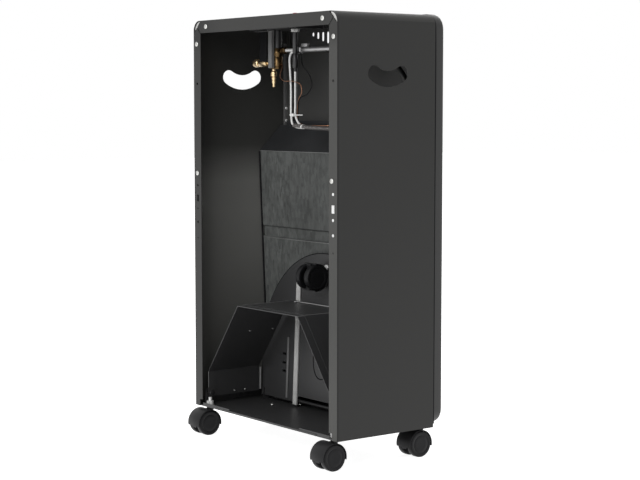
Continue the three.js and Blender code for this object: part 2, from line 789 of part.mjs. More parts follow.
function draughtHood() {
  const half = shieldWidth / 2 - shieldSheet - clearance;
  const front = -cabinetDepth + sheet + clearance;
  const lapY = shieldTopY - shieldSheet - clearance;
  const slope = (hoodTop - shieldTop) / (lapY - hoodTopY);
  const line = [
    [lapY - shieldLean * hoodLap, shieldTop - hoodLap],
    [lapY, shieldTop + 1],
    [hoodTopY, hoodTop],
    [front, hoodTop],
  ];
  const under = [
    [front, hoodTop - hoodSheet],
    [hoodTopY + hoodSheet / slope / 2, hoodTop - hoodSheet],
    [lapY - hoodSheet, shieldTop + 1 - hoodSheet],
    [lapY - shieldLean * hoodLap - hoodSheet, shieldTop - hoodLap],
  ];
  const plate = prismX(polygon([...line, ...under]), -half, half);
  const earTop = block(-half, half, front, front + 1.2, hoodTop - hoodSheet, hoodTop + 8);
  const room = 3;
  const pipeHole = block(pipeSideX - pipeRadius - room, pipeSideX + pipeRadius + room, pipeBack - 9, pipeBack + 9, shieldTop, hoodTop + 1);
  const leadHole = block(pilotX - 15, pilotX + 15, pilotY - 10, pilotY + 8, shieldTop, hoodTop + 1);
  const tipped = join(plate, earTop);
  const sideFlanges = [-half, half - hoodSheet].map((x) => hoodCheek(x, front));
  return part("draught_hood", cut(join(tipped, ...sideFlanges), pipeHole, leadHole), blackPowder);
}

// The hood's side is closed by a cheek down to the shield's side wall.
function hoodCheek(x, front) {
  const lapY = shieldTopY - shieldSheet - clearance;
  const cheek = polygon([
    [front, shieldTop - hoodLap],
    [lapY - shieldLean * hoodLap - hoodSheet / 2, shieldTop - hoodLap],
    [lapY - hoodSheet / 2, shieldTop + 1],
    [hoodTopY, hoodTop - hoodSheet / 2],
    [front, hoodTop - hoodSheet / 2],
  ]);
  return prismX(cheek, x, x + hoodSheet);
}

// Pilot burner beside the ceramic plaques, on top of the burner box.
function pilotBurner() {
  const seat = windowCentre + burnerTall + clearance;
  const foot = block(pilotX - 13, pilotX + 13, pilotY - 22, pilotY + 5, seat, seat + 2);
  const bodyBlock = block(pilotX - 9, pilotX + 9, pilotY - 8, pilotY + 4, seat, seat + pilotTall);
  const head = bar(4, 0, 22, 10).rotate([quarter, 0, 0]).translate([pilotX, pilotY - 6, seat + 8]);
  return part("pilot_burner", join(foot, bodyBlock, head), zinc);
}

// Controls

function controlTray() {
  const [x0, x1] = [trayX - trayWidth / 2, trayX + trayWidth / 2];
  const [y0, y1] = [trayY - trayLength / 2, trayY + trayLength / 2];
  const top = cabinetHeight + clearance;
  const rim = prismZ(rectangle(x0 - trayRim, x1 + trayRim, y0 - trayRim, y1 + trayRim, 8), top, top + 1, 2);
  const tub = prismZ(rectangle(x0, x1, y0, y1, 4), trayUnder, top + 0.5, 2);
  const room = prismZ(rectangle(x0 + traySheet, x1 - traySheet, y0 + traySheet, y1 - traySheet, 3), trayFloor, top + 2, 2);
  const spindleHole = bar(spindleRadius + 2 * clearance, trayUnder - 1, trayFloor + 1).translate([valveX, valveY, 0]);
  const igniterHole = bar(igniterRadius + 1, trayUnder - 1, trayFloor + 1).translate([igniterX, igniterY, 0]);
  return part("control_tray", cut(join(rim, tub), room, spindleHole, igniterHole), blackPowder);
}

// Round knob with a finger bar across it, on the valve's spindle.
function gasKnob() {
  const low = trayFloor + knobLift;
  const high = low + knobHeight;
  const skirt = turned([[0, low], [knobRadius, low], [knobRadius, low + 4], [knobRadius - 1.5, low + 6], [0, low + 6]], 28);
  const grip = prismZ(rectangle(-4, 4, -knobRadius + 2, knobRadius - 2, 3.5), low + 5, high, 2);
  const boss = turned([[0, low + 5], [11, low + 5], [9, high - 3], [0, high - 3]], 20);
  const bore = bar(spindleRadius + 1.5 * clearance, low - 1, high - 4);
  return part("gas_knob", cut(join(skirt, grip, boss).translate([valveX, valveY, 0]), bore.translate([valveX, valveY, 0])), blackPlastic);
}

function knobSpindle() {
  const top = trayFloor + knobLift + knobHeight - 4 - clearance;
  return part("knob_spindle", bar(spindleRadius, valveTop, top).translate([valveX, valveY, 0]), zinc);
}

// Round valve body with the spindle's neck, an inlet boss towards the magnet and an outlet boss.
function gasValve() {
  const neckTop = trayUnder - clearance;
  const profile = [
    [0, valveBottom],
    [valveRadius - 1, valveBottom],
    [valveRadius, valveBottom + 1],
    [valveRadius, valveTop - 1],
    [valveRadius - 1, valveTop],
    [valveNeck, valveTop + 0.5],
    [valveNeck, neckTop],
    [0, neckTop],
  ];
  const body = turned(profile, 20);
  const inlet = lieAlongX(bar(inletRadius, 0, inletReach, 16)).translate([0, 0, inletZ]);
  const outlet = lieAlongX(bar(outletRadius, -outletReach, 0, 6)).translate([0, pipeY - valveY, pipeZ]);
  const drop = nozzleX - valveX;
  const seat = block(drop - nozzleSeat, drop + nozzleSeat, -nozzleSeat, nozzleSeat, valveBottom, inletZ);
  const bore = bar(spindleRadius + 1.5 * clearance, valveTop - pushTravel - 3, neckTop + 1);
  const whole = cut(join(body, inlet, outlet, seat), bore);
  return part("gas_valve", whole.translate([valveX, valveY, 0]), brass);
}

// Two straps hung from one foot under the tray, the nearer one with a stiffening lip.
function valveBracket() {
  const front = valveY + valveRadius + clearance;
  const back = front + bracketSheet;
  const x0 = valveX - bracketSheet;
  const x1 = x0 + bracketWidth;
  const x2 = x1 + bracketGap;
  const x3 = x2 + bracketWing;
  const top = trayUnder - clearance;
  const pieces = [
    block(x0, x1, front, back, valveBottom + 2, top),
    block(x2, x3, front, back, valveBottom + bracketWingRise, top),
    block(x0, x3, front, back + bracketFoot, top - bracketSheet, top),
    block(x0, x0 + bracketSheet, front, back + bracketLip, valveBottom + 2, top),
  ];
  return part("valve_bracket", join(...pieces), galvanised);
}

// Safety magnet head, on a thin tail screwed into the inlet boss.
function safetyMagnet() {
  const start = valveX + inletReach + clearance;
  const profile = [
    [0, 0],
    [5.5, 0],
    [5.5, 3],
    [3.5, 4],
    [3.5, 18],
    [6, 19],
    [6, 34],
    [7.4, 35],
    [7.4, 50],
    [6, 52.5],
    [0, 54],
  ];
  const piece = lieAlongX(turned(profile, 14)).translate([start, valveY, inletZ]);
  return part("safety_magnet", piece, brass);
}

// Ribbed nozzle for the gas hose, bored through.
function hoseBarb() {
  const top = valveBottom - clearance;
  const profile = [
    [0, -31],
    [2.3, -31],
    [2.5, -30],
    [2.5, -25],
    [3.2, -24],
    [3.8, -20],
    [3, -19.5],
    [4.2, -15],
    [3.4, -14.5],
    [5.4, -12],
    [5.4, -5],
    [3.2, -3.2],
    [3.2, 0],
    [0, 0],
  ];
  const bore = bar(1.5, -32, -8, 10);
  const nozzle = cut(turned(profile, 14), bore).translate([nozzleX, valveY, top]);
  return part("hose_barb", nozzle, brass);
}

function burnerPipe() {
  const start = valveX - outletReach - clearance;
  const nutWide = 7;
  const route = [
    [pipeStart, pipeY, pipeZ],
    [pipeStart - 20, pipeY, pipeZ],
    [(pipeStart + pipeSideX) / 2, pipeY, pipeZ],
    [pipeSideX + 30, pipeY, pipeZ],
    [pipeSideX + 6, pipeY - 14, pipeZ - 3],
    [pipeSideX, (pipeY + pipeBack) / 2, pipeZ - 18],
    [pipeSideX, pipeBack + 6, pipeZ - 52],
    [pipeSideX, pipeBack, pipeZ - 90],
    [pipeSideX, pipeBack, hoodTop - 25],
    [pipeSideX, pipeBack, pipeLow + 30],
    [pipeSideX + 4, pipeBack, pipeLow + 6],
    [-burnerHalf - 10, pipeBack, pipeLow],
  ];
  const pipe = tube(route, pipeRadius, 8, 46);
  const stub = lieAlongX(bar(stubRadius, pipeStart - 1, start, 12));
  const flareNut = [[0, -4], [nutWide - 1.5, -4], [nutWide, -2], [nutWide, 6], [nutWide - 1.5, 8], [0, 8]];
  const nut = lieAlongX(turned(flareNut, 6));
  const injector = lieAlongX(turned([[0, 0], [7, 0], [7, 12], [5, 14], [0, 14]], 6));
  const ends = [
    stub.translate([0, pipeY, pipeZ]),
    nut.translate([pipeStart, pipeY, pipeZ]),
    injector.translate([-burnerHalf - 14 - clearance, pipeBack, pipeLow]),
  ];
  return part("burner_pipe", join(pipe, ...ends), aluminised);
}

function igniterBody() {
  const neckTop = cabinetHeight + 2;
  const profile = [
    [0, igniterLow],
    [2.5, igniterLow],
    [2.5, igniterLow + 5],
    [igniterRadius, igniterLow + 6],
    [igniterRadius, trayFloor + clearance],
    [8, trayFloor + clearance],
    [8, trayFloor + 3],
    [igniterNeck, trayFloor + 4],
    [igniterNeck, neckTop],
    [0, neckTop],
  ];
  const boreLow = cabinetHeight + buttonProud - buttonLength - buttonTravel - 0.5;
  const bore = bar(buttonRadius + 1.5 * clearance, boreLow, neckTop + 1);
  return part("igniter_body", cut(turned(profile, 16), bore).translate([igniterX, igniterY, 0]), blackPlastic);
}

function igniterNut() {
  const top = trayUnder - clearance;
  const ring = cut(bar(7.2, top - 5, top, 6), bar(igniterRadius + 1.5 * clearance, top - 6, top + 1));
  return part("igniter_nut", ring.translate([igniterX, igniterY, 0]), nutWhite);
}

function igniterButton() {
  const top = cabinetHeight + buttonProud;
  const low = top - buttonLength;
  const profile = [[0, low], [buttonRadius, low], [buttonRadius, top - 1.2], [buttonRadius - 1.2, top], [0, top + 0.3]];
  return part("igniter_button", turned(profile, 16).translate([igniterX, igniterY, 0]), redPlastic);
}

// X a given share of the way from the igniter to the pilot.
function towardsPilot(share) {
  return igniterX + share * (pilotX - igniterX);
}

// Two white sleeved leads hang from the igniter and run through the hood to the pilot.
function leadRoute(x, sideways, start) {
  const end = windowCentre + burnerTall + clearance + pilotTall + clearance;
  return [
    ...start,
    [x, igniterY, igniterLow - 29],
    [x, igniterY, (igniterLow + leadLow) / 2 - 14],
    [x - 0.5, igniterY, leadLow + 14],
    [x - 9, igniterY - 2 + sideways, leadLow - 3],
    [towardsPilot(0.32), igniterY - 12 + sideways, leadLow - 7],
    [towardsPilot(0.62), (igniterY + pilotY) / 2 + 8 + sideways, leadLow - 9],
    [towardsPilot(0.85), pilotY + 24 + sideways, leadLow - 9],
    [pilotX - sideways, pilotY + 6 + sideways, leadLow - 14],
    [pilotX - sideways - 2, pilotY + 1, leadLow - 30],
    [pilotX - sideways - 2, pilotY, end + 6],
    [pilotX - sideways - 2, pilotY, end],
  ];
}

function ignitionLead() {
  const start = [[igniterX, igniterY, igniterLow - clearance], [igniterX, igniterY, igniterLow - 8.6]];
  return part("ignition_lead", tube(leadRoute(igniterX, -3, start), leadRadius, 8, 60), whiteSleeve);
}

function sensorLead() {
  const loop = igniterLow + 32.4;
  const start = [
    [igniterX + igniterRadius + clearance, igniterY, loop],
    [igniterX + igniterRadius + 6, igniterY, loop],
    [igniterX + igniterRadius + 11.4, igniterY, loop - 9],
    [igniterX + igniterRadius + 10.4, igniterY, loop - 31],
  ];
  return part("sensor_lead", tube(leadRoute(igniterX + 12.5, 3.2, start), leadRadius, 8, 66), whiteSleeve);
}

// Thin copper capillary from the valve to the pilot.
function thermocouple() {
  const x = valveX - valveRadius - clearance;
  const end = windowCentre + burnerTall + clearance + pilotTall + clearance;
  const low = valveBottom;
  const bend = valveY + 13;
  const route = [
    [x, valveY, low + 8],
    [x - 4, valveY, low + 8],
    [x - 9, valveY + 4, low + 2],
    [x - 13, bend - 2, low - 12],
    [x - 26, bend, low - 21],
    [x - 52, bend, low - 22],
    [x - 76, bend, low - 29],
    [x - 79, bend, low - 41],
    [x - 68, bend - 2, low - 52],
    [x - 52, bend - 11, low - 63],
    [x - 47, bend - 14, low - 80],
    [x - 48, bend - 15, leadLow + 4],
    [x - 62, bend - 17, leadLow - 2],
    [towardsPilot(0.4), igniterY - 15, leadLow - 3],
    [towardsPilot(0.7), (igniterY + pilotY) / 2, leadLow - 2],
    [towardsPilot(0.865), pilotY + 21, leadLow - 1],
    [pilotX + 9, pilotY + 2, leadLow - 6],
    [pilotX + 8, pilotY - 6, leadLow - 16],
    [pilotX + 7, pilotY - 6, leadLow - 34],
    [pilotX + 7, pilotY - 5, end + 8],
    [pilotX + 7, pilotY - 5, end],
  ];
  return part("thermocouple", tube(route, capillaryRadius, 8, 72), copper);
}

// Bottle guard

function bottleGuard() {
  const belt = [
    [-guardHalf, guardBottom],
    [-guardHalf, guardShoulder],
    [-guardTopHalf, guardTop],
    [guardTopHalf, guardTop],
    [guardHalf, guardShoulder],
    [guardHalf, guardBottom],
  ];
  const line = (depth) => folded(inset(belt, depth), guardBend - depth);
  const ring = (outer, inner) => polygon([...line(outer), ...line(inner).reverse()]);
  const wall = prismY(ring(0, sheet), guardFront, guardRear - guardEdge);
  const riser = prismY(ring(0, guardStep + sheet), guardRear - guardEdge - sheet, guardRear - guardEdge);
  const rim = prismY(ring(guardStep, guardStep + sheet), guardRear - guardEdge - sheet, guardRear);
  const lipHalf = guardTopHalf - guardBend;
  const lip = block(-lipHalf, lipHalf, guardFront, guardFront + sheet, guardTop - sheet, guardTop + guardLip);
  const [pinY, pinZ] = [guardRear - guardCorner, guardBottom + guardCorner];
  const notches = [];
  const tabs = [];
  for (const side of [-1, 1]) {
    const x = side * guardHalf;
    const square = block(x - 20, x + 20, pinY, guardRear + 1, guardBottom - 1, pinZ);
    const round = lieAlongX(bar(guardCorner, -30, 30, 24)).translate([x, pinY, pinZ]);
    notches.push(square.subtract(round));
    notches.push(lieAlongX(bar(pinRadius + 1.5 * clearance, -5, 5)).translate([x, pinY, pinZ]));
    const [a, b] = [side * (guardHalf - guardTab), side * (guardHalf - sheet / 2)];
    const [low, high] = [guardBottom + 3, guardShoulder - 2];
    tabs.push(block(Math.min(a, b), Math.max(a, b), guardFront, guardFront + sheet, low, high));
  }
  return part("bottle_guard", cut(join(wall, riser, rim, lip, ...tabs), ...notches), darkPowder);
}

// Headed pin that the guard turns on, held in the pan's ear.
function guardPin(name, side) {
  const head = guardHalf - guardStep - sheet - clearance;
  const tail = earX + panThickness + clearance;
  const profile = [
    [0, head - pinHeadSheet],
    [pinHead, head - pinHeadSheet],
    [pinHead, head],
    [pinRadius, head],
    [pinRadius, tail],
    [pinHead, tail],
    [pinHead, tail + pinHeadSheet],
    [0, tail + pinHeadSheet],
  ];
  const pin = lieAlongX(turned(profile, 16)).translate([0, guardRear - guardCorner, guardBottom + guardCorner]);
  return part(name, side > 0 ? pin : pin.mirror([1, 0, 0]), zinc);
}

// Bottle platform, drawn upright from its hinge and leaned back as a group.
function platformPlate() {
  const back = knuckle - platformSheet;
  const centre = platformTop - platformHalf;
  const outline = new THREE.Shape();
  outline.moveTo(-platformHalf, -2);
  outline.lineTo(platformHalf, -2);
  outline.lineTo(platformHalf, centre);
  outline.absarc(0, centre, platformHalf, 0, Math.PI);
  const plate = prismY(outline, back, knuckle, 14);
  const panelHalf = railX - railWidth;
  const panelTop = platformCastorHeight - 48;
  const panel = prismY(rectangle(-panelHalf, panelHalf, notchHigh + 8, panelTop, 8), knuckle - 0.5, knuckle + 1, 2);
  const padHalf = padWidth / 2;
  const pad = prismY(rectangle(-padHalf, padHalf, padLow, padHigh, padHalf - 0.01), knuckle, knuckle + 2, 4);
  const notch = prismY(rectangle(-notchHalf, notchHalf, -20, notchHigh, 5), back - 1, knuckle + 1, 2);
  const barrels = [-barrelX, barrelX].map((x) => lieAlongX(bar(knuckle, -barrelHalf, barrelHalf)).translate([x, 0, 0]));
  let plateSolid = join(cut(plate, notch), panel, pad, ...barrels);
  plateSolid = cut(plateSolid, lieAlongX(bar(hingeRod + 1.5 * clearance, -platformHalf - 5, platformHalf + 5)));
  for (const side of [-1, 1]) {
    for (const z of slotLevels) {
      const x = side * slotX;
      const shape = rectangle(x - slotLength / 2, x + slotLength / 2, z - slotHeight / 2, z + slotHeight / 2, slotHeight / 2 - 0.01);
      plateSolid = cut(plateSolid, prismY(shape, back - 1, knuckle + 1, 1));
    }
    const ear = side * (platformHalf - earGap);
    plateSolid = cut(plateSolid, block(ear - 2, ear + 2, -9, 9, -10, 12));
  }
  const stemHole = bar(studRadius + 1.5 * clearance, -20, 20).rotate([quarter, 0, 0]).translate([0, 0, platformCastorHeight]);
  return part("bottle_platform", cut(plateSolid, stemHole), darkPowder);
}

// Zinc channel on the platform, one each side of the middle panel.
function platformRail(name, side) {
  const low = -hingeZ + panTop + 4;
  const x = side * railX;
  const y = knuckle + clearance;
  const half = railWidth / 2;
  const solidBar = block(x - half, x + half, y, y + railDepth, low, railTop);
  const face = y + railDepth;
  const groove = block(x - half + 2, x + half - 2, face - railGroove, face + 1, low + 5, railTop - 5);
  return part(name, cut(solidBar, groove), zinc);
}

function hingeRodPiece() {
  const reach = platformHalf - earGap + 5;
  return part("platform_hinge_rod", lieAlongX(bar(hingeRod, -reach, reach)), zinc);
}

// Castors: drawn with the underside of their carrying plate at Z 0 and the stem on the Z axis.

function castorStem(name, plate, studTop) {
  const nutLow = plate + clearance;
  const nutHigh = Math.min(nutLow + 6, studTop - 1);
  const shaft = turned(
    [
      [0, castorAxle + 6],
      [stemRadius, castorAxle + 6],
      [stemRadius, clearance - castorNeck],
      [shoulderRadius, clearance - castorNeck],
      [shoulderRadius, -clearance],
      [studRadius, -clearance],
      [studRadius, studTop],
      [0, studTop],
    ],
    16,
  );
  return part(name, join(shaft, bar(5.6, nutLow, nutHigh, 6)), zinc);
}

function fenderTop() {
  return castorAxle + fenderOuter;
}

// Fender over both wheels, with the web between them that holds axle and stem.
function castorHood(name) {
  const arc = (radius, from, to) => {
    const shape = new THREE.Shape();
    shape.moveTo(castorTrail + radius * Math.cos(from), castorAxle + radius * Math.sin(from));
    shape.absarc(castorTrail, castorAxle, radius, from, to);
    return shape;
  };
  const [from, to] = [-0.2, Math.PI + 0.2];
  const over = arc(fenderOuter, from, to);
  over.absarc(castorTrail, castorAxle, fenderInner, to, from, true);
  const fender = prismX(over, -wheelOuter, wheelOuter, 9);
  const web = prismX(arc(fenderInner + 0.5, from - 0.15, to + 0.15), -webHalf, webHalf, 8);
  const boss = bar(webHalf, castorAxle + 4, -castorNeck, 12);
  const neckWeb = block(-webHalf, webHalf, -webHalf, castorTrail, castorAxle + 6, fenderTop() - 4);
  const socket = bar(stemRadius + 1.5 * clearance, castorAxle + 5, 1);
  const axleHole = lieAlongX(bar(axleRadius + 1.5 * clearance, -webHalf - 1, webHalf + 1)).translate([0, castorTrail, castorAxle]);
  return part(name, cut(join(fender, web, boss, neckWeb), socket, axleHole), wheelPlastic);
}

function castorPin(name) {
  const reach = wheelOuter - 2;
  return part(name, lieAlongX(bar(axleRadius, -reach, reach, 12)).translate([0, castorTrail, castorAxle]), zinc);
}

// One wheel with a blind hub; its tread is flat where it meets the floor.
function castorWheel(name, side) {
  const rim = wheelRadius / Math.cos(Math.PI / wheelSides);
  const blind = wheelOuter - 2 + clearance;
  const bore = axleRadius + 1.5 * clearance;
  const profile = [
    [0, blind],
    [bore, blind],
    [bore, wheelInner],
    [rim, wheelInner],
    [rim, wheelOuter - 1.8],
    [rim - 1.8, wheelOuter],
    [rim * 0.7, wheelOuter],
    [rim * 0.66, wheelOuter - 0.8],
    [0, wheelOuter - 0.8],
  ];
  const wheel = lieAlongX(turned(profile, wheelSides)).translate([0, castorTrail, castorAxle]);
  return part(name, side > 0 ? wheel : wheel.mirror([1, 0, 0]), wheelPlastic);
}

function castor(name, plate, studTop) {
  const group = new THREE.Group();
  group.add(castorStem(`${name}_stem`, plate, studTop));
  group.add(castorHood(`${name}_hood`));
  group.add(castorPin(`${name}_axle`));
  group.add(castorWheel(`${name}_wheel_a`, 1));
  group.add(castorWheel(`${name}_wheel_b`, -1));
  return group;
}

// Assembly

// How far the folded platform leans, so that its castor's stud stops short of the heat shield.
function foldedSine() {
  const stud = platformSheet + platformStud - knuckle;
  const rest = shieldY(hingeZ + platformCastorHeight) + studGap;
  return (hingeY - stud - rest) / platformCastorHeight;
}

function platformGroup() {
  const group = new THREE.Group();
  group.position.set(0, hingeY, hingeZ);
  group.rotation.x = Math.asin(foldedSine());
  group.add(platformPlate());
  group.add(platformRail("platform_rail_left", -1));
  group.add(platformRail("platform_rail_right", 1));
  const wheelset = castor("platform_castor", platformSheet, platformSheet + platformStud);
  wheelset.position.set(0, knuckle, platformCastorHeight);
  wheelset.rotation.set(Math.PI / 2, 0, Math.PI);
  group.add(wheelset);
  return group;
}

function hingeRodGroup() {
  const group = new THREE.Group();
  group.position.set(0, hingeY, hingeZ);
  group.add(hingeRodPiece());
  return group;
}

function floorCastors() {
  const places = [
    ["rear_left_castor", -castorX, castorRear],
    ["rear_right_castor", castorX, castorRear],
    ["front_left_castor", -castorX, castorFront],
    ["front_right_castor", castorX, castorFront],
  ];
  return places.map(([name, x, y]) => {
    const group = castor(name, panThickness, 14.7);
    group.position.set(x, y, panRise);
    return group;
  });
}

const frame = new THREE.Group();
frame.position.set(0, -(rearReach + bezelFront) / 2, -floorLevel);
frame.add(
  cabinetWrap(),
  cornerGusset("corner_gusset_left", -1),
  cornerGusset("corner_gusset_right", 1),
  floorPan(),
  frontPanel(),
  reflector(),
  burnerBox(),
  ...ceramicPlaques(),
  wireGuard(),
  heatShield(),
  draughtHood(),
  pilotBurner(),
  controlTray(),
  gasKnob(),
  knobSpindle(),
  gasValve(),
  valveBracket(),
  safetyMagnet(),
  hoseBarb(),
  burnerPipe(),
  igniterBody(),
  igniterNut(),
  igniterButton(),
  ignitionLead(),
  sensorLead(),
  thermocouple(),
  bottleGuard(),
  guardPin("guard_pin_left", -1),
  guardPin("guard_pin_right", 1),
  platformGroup(),
  hingeRodGroup(),
  ...floorCastors(),
);

const heater = new THREE.Group();
heater.add(frame);

export default heater;
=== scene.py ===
import json
import math

import bmesh
import bpy
from mathutils import Matrix, Vector


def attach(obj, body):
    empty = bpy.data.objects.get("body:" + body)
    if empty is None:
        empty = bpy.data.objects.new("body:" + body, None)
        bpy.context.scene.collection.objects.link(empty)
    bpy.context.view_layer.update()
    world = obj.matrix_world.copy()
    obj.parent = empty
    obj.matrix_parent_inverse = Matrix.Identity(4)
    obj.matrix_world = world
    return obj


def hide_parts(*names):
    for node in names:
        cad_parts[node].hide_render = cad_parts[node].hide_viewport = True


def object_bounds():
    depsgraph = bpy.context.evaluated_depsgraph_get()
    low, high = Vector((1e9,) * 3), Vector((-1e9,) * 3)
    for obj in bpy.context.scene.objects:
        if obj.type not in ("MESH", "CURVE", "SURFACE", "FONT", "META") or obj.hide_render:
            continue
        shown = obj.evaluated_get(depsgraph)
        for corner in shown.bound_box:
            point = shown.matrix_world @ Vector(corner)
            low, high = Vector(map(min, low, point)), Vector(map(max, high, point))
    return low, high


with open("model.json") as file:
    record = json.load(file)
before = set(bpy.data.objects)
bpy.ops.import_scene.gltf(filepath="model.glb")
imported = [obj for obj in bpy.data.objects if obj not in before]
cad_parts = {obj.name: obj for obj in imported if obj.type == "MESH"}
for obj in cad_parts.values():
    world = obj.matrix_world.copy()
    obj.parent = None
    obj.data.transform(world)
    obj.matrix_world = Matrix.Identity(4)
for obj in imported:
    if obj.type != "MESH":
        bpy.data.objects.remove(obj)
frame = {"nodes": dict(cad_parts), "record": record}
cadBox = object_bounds()
nodes = frame["nodes"]
record = frame["record"]
bodyOfNode = {n: b for b, names in record["behaviour"]["bodies"].items() for n in names}
slotOfNode = {s["node"]: s["material_slot"] for s in record["subparts"]}
print("frame loaded:", len(nodes), "nodes")

# Places are written in millimetres from the rear lower edge of the cabinet sheet,
# as in the drawing, and turned into the frame's metres by at().
rearToFrame = 102.4
sheetToFloor = 50.0


def at(x, y, z):
    return Vector((x, y + rearToFrame, z + sheetToFloor)) / 1000


def mm(value):
    return value / 1000


# finishes: one function for each kind, one entry of settings for each finish

def newTree(name):
    mat = bpy.data.materials.new(name)
    mat.use_nodes = True
    tree = mat.node_tree
    tree.nodes.clear()
    out = tree.nodes.new("ShaderNodeOutputMaterial")
    shader = tree.nodes.new("ShaderNodeBsdfPrincipled")
    tree.links.new(shader.outputs[0], out.inputs["Surface"])
    return mat, tree, shader


def node(tree, kind, settings=None, **inputs):
    made = tree.nodes.new("ShaderNode" + kind)
    for key, value in (settings or {}).items():
        setattr(made, key, value)
    for key, value in inputs.items():
        socket = made.inputs[int(key[1:])] if key[0] == "i" and key[1:].isdigit() else made.inputs[key]
        if isinstance(value, bpy.types.NodeSocket):
            tree.links.new(value, socket)
        else:
            socket.default_value = value
    return made


def placeOnPiece(tree, scale=(1, 1, 1)):
    coords = node(tree, "TexCoord")
    return node(tree, "Mapping", Vector=coords.outputs["Object"], Scale=scale).outputs[0]


def placeApart(tree):
    apart = node(tree, "SeparateXYZ", Vector=node(tree, "TexCoord").outputs["Object"])
    return [apart.outputs[axis] for axis in "XYZ"]


def noise(tree, place, scale, **more):
    return node(tree, "TexNoise", Vector=place, Scale=scale, **more).outputs["Fac"]


def reckoned(tree, operation, one, *two):
    return node(tree, "Math", {"operation": operation}, i0=one, **{"i1": value for value in two}).outputs[0]


def mixed(tree, share, one, two):
    return node(tree, "MixRGB", Fac=share, Color1=one, Color2=two).outputs[0]


def times(tree, one, two):
    return node(tree, "MixRGB", {"blend_type": "MULTIPLY"}, Fac=1.0, Color1=one, Color2=two).outputs[0]


def ramp(tree, fac, stops):
    made = node(tree, "ValToRGB", Fac=fac)
    elements = made.color_ramp.elements
    while len(elements) < len(stops):
        elements.new(0.5)
    for element, (place, value) in zip(elements, stops):
        element.position = place
        element.color = (*value, 1) if isinstance(value, (tuple, list)) else (value, value, value, 1)
    return made.outputs[0]


def shades(look, start, end):
    # ramp stops from a little darker than the colour to a little lighter
    spread = look["spread"]
    return [(start, tuple(c * (1 - spread) for c in look["colour"])),
            (end, tuple(c * (1 + spread) for c in look["colour"]))]


def roughBy(tree, shader, fac, look, less, more, start=0.3, end=0.7):
    made = ramp(tree, fac, [(start, look["roughness"] - less), (end, look["roughness"] + more)])
    tree.links.new(made, shader.inputs["Roughness"])


def bumpBy(tree, shader, height, strength, distance=0.0001):
    bump = node(tree, "Bump", Strength=strength, Distance=distance, Height=height)
    tree.links.new(bump.outputs[0], shader.inputs["Normal"])


halfMetre = 0.5  # added to a place before a ramp takes it, so that it stays above 0


def cabinetPaintedLight(tree, look):
    # painted light and shade by place: the inner faces are lighter half way up and well in from the rear,
    # and the outer sides, rear flange, far flange, top and the rear fold are darker
    x, y, z = placeApart(tree)
    outside = reckoned(tree, "GREATER_THAN", reckoned(tree, "ABSOLUTE", x), look["innerHalf"])
    atRear = reckoned(tree, "GREATER_THAN", y, look["innerRear"])
    onTop = reckoned(tree, "GREATER_THAN", z, look["innerTop"])
    depth = reckoned(tree, "ADD", y, halfMetre)
    along = reckoned(tree, "ADD", x, halfMetre)
    inner = times(tree, ramp(tree, depth, look["deep"]), ramp(tree, z, look["tall"]))
    rear = times(tree, ramp(tree, z, look["rear"]), ramp(tree, along, look["rearAcross"]))
    side = ramp(tree, depth, look["side"])
    shade = times(tree, inner, look["inner"])
    for mask, value in ((atRear, rear), (onTop, look["top"]), (outside, side)):
        shade = mixed(tree, mask, shade, value)
    return shade


def frontPaintedLight(tree, look):
    # painted light and shade on the back of the front: darker towards one side, lighter towards the other
    x, y, z = placeApart(tree)
    inside = reckoned(tree, "GREATER_THAN", y, look["innerFront"])
    thin = ramp(tree, reckoned(tree, "ADD", x, halfMetre), look["across"])
    return mixed(tree, inside, grey(1.0), times(tree, thin, look["inner"]))


def powderCoat(name, look):
    # fine orange-peel grain over a slow change of shade
    mat, tree, shader = newTree(name)
    here = placeOnPiece(tree)
    slow = noise(tree, here, look["cloud"], Detail=3.0, Roughness=0.5)
    fine = noise(tree, here, look["grain"], Detail=2.0, Roughness=0.6)
    colour = ramp(tree, slow, shades(look, 0.3, 0.7))
    # painted light and shade by place, where the look gives zones
    if "zones" in look:
        colour = times(tree, colour, look["shadedBy"](tree, look["zones"]))
    tree.links.new(colour, shader.inputs["Base Color"])
    roughBy(tree, shader, fine, look, 0.06, 0.06)
    bumpBy(tree, shader, fine, look["peel"], 0.0002)
    shader.inputs["Specular IOR Level"].default_value = look["gloss"]
    return mat


def galvanisedSheet(name, look):
    # flower pattern of frozen zinc, with rolling streaks down the sheet
    mat, tree, shader = newTree(name)
    flowers = placeOnPiece(tree, (1, 1, 0.35))
    warp = node(tree, "TexNoise", Vector=flowers, Scale=look["warp"], Detail=2.0).outputs["Color"]
    wander = (look["wander"],) * 3
    bent = node(tree, "VectorMath", {"operation": "MULTIPLY_ADD"}, i0=warp, i1=wander, i2=flowers).outputs[0]
    cells = node(tree, "TexVoronoi", Vector=bent, Scale=look["flower"]).outputs["Color"]
    down = placeOnPiece(tree, (1, 1, look["streak"]))
    streaks = noise(tree, down, look["rolled"], Detail=4.0, Roughness=0.65)
    cloud = noise(tree, placeOnPiece(tree), look["cloud"], Detail=5.0, Roughness=0.65)
    both = mixed(tree, 0.4, mixed(tree, 0.4, streaks, cells), cloud)
    tone = node(tree, "RGBToBW", Color=both).outputs[0]
    # painted shade: the sheet is darker towards its middle
    away = reckoned(tree, "DIVIDE", reckoned(tree, "ABSOLUTE", placeApart(tree)[0]), look["half"])
    zinc = times(tree, ramp(tree, tone, shades(look, 0.36, 0.62)), ramp(tree, away, look["across"]))
    tree.links.new(zinc, shader.inputs["Base Color"])
    roughBy(tree, shader, tone, look, 0.1, 0.1)
    bumpBy(tree, shader, tone, 0.12, 0.0003)
    shader.inputs["Metallic"].default_value = look["metal"]
    return mat


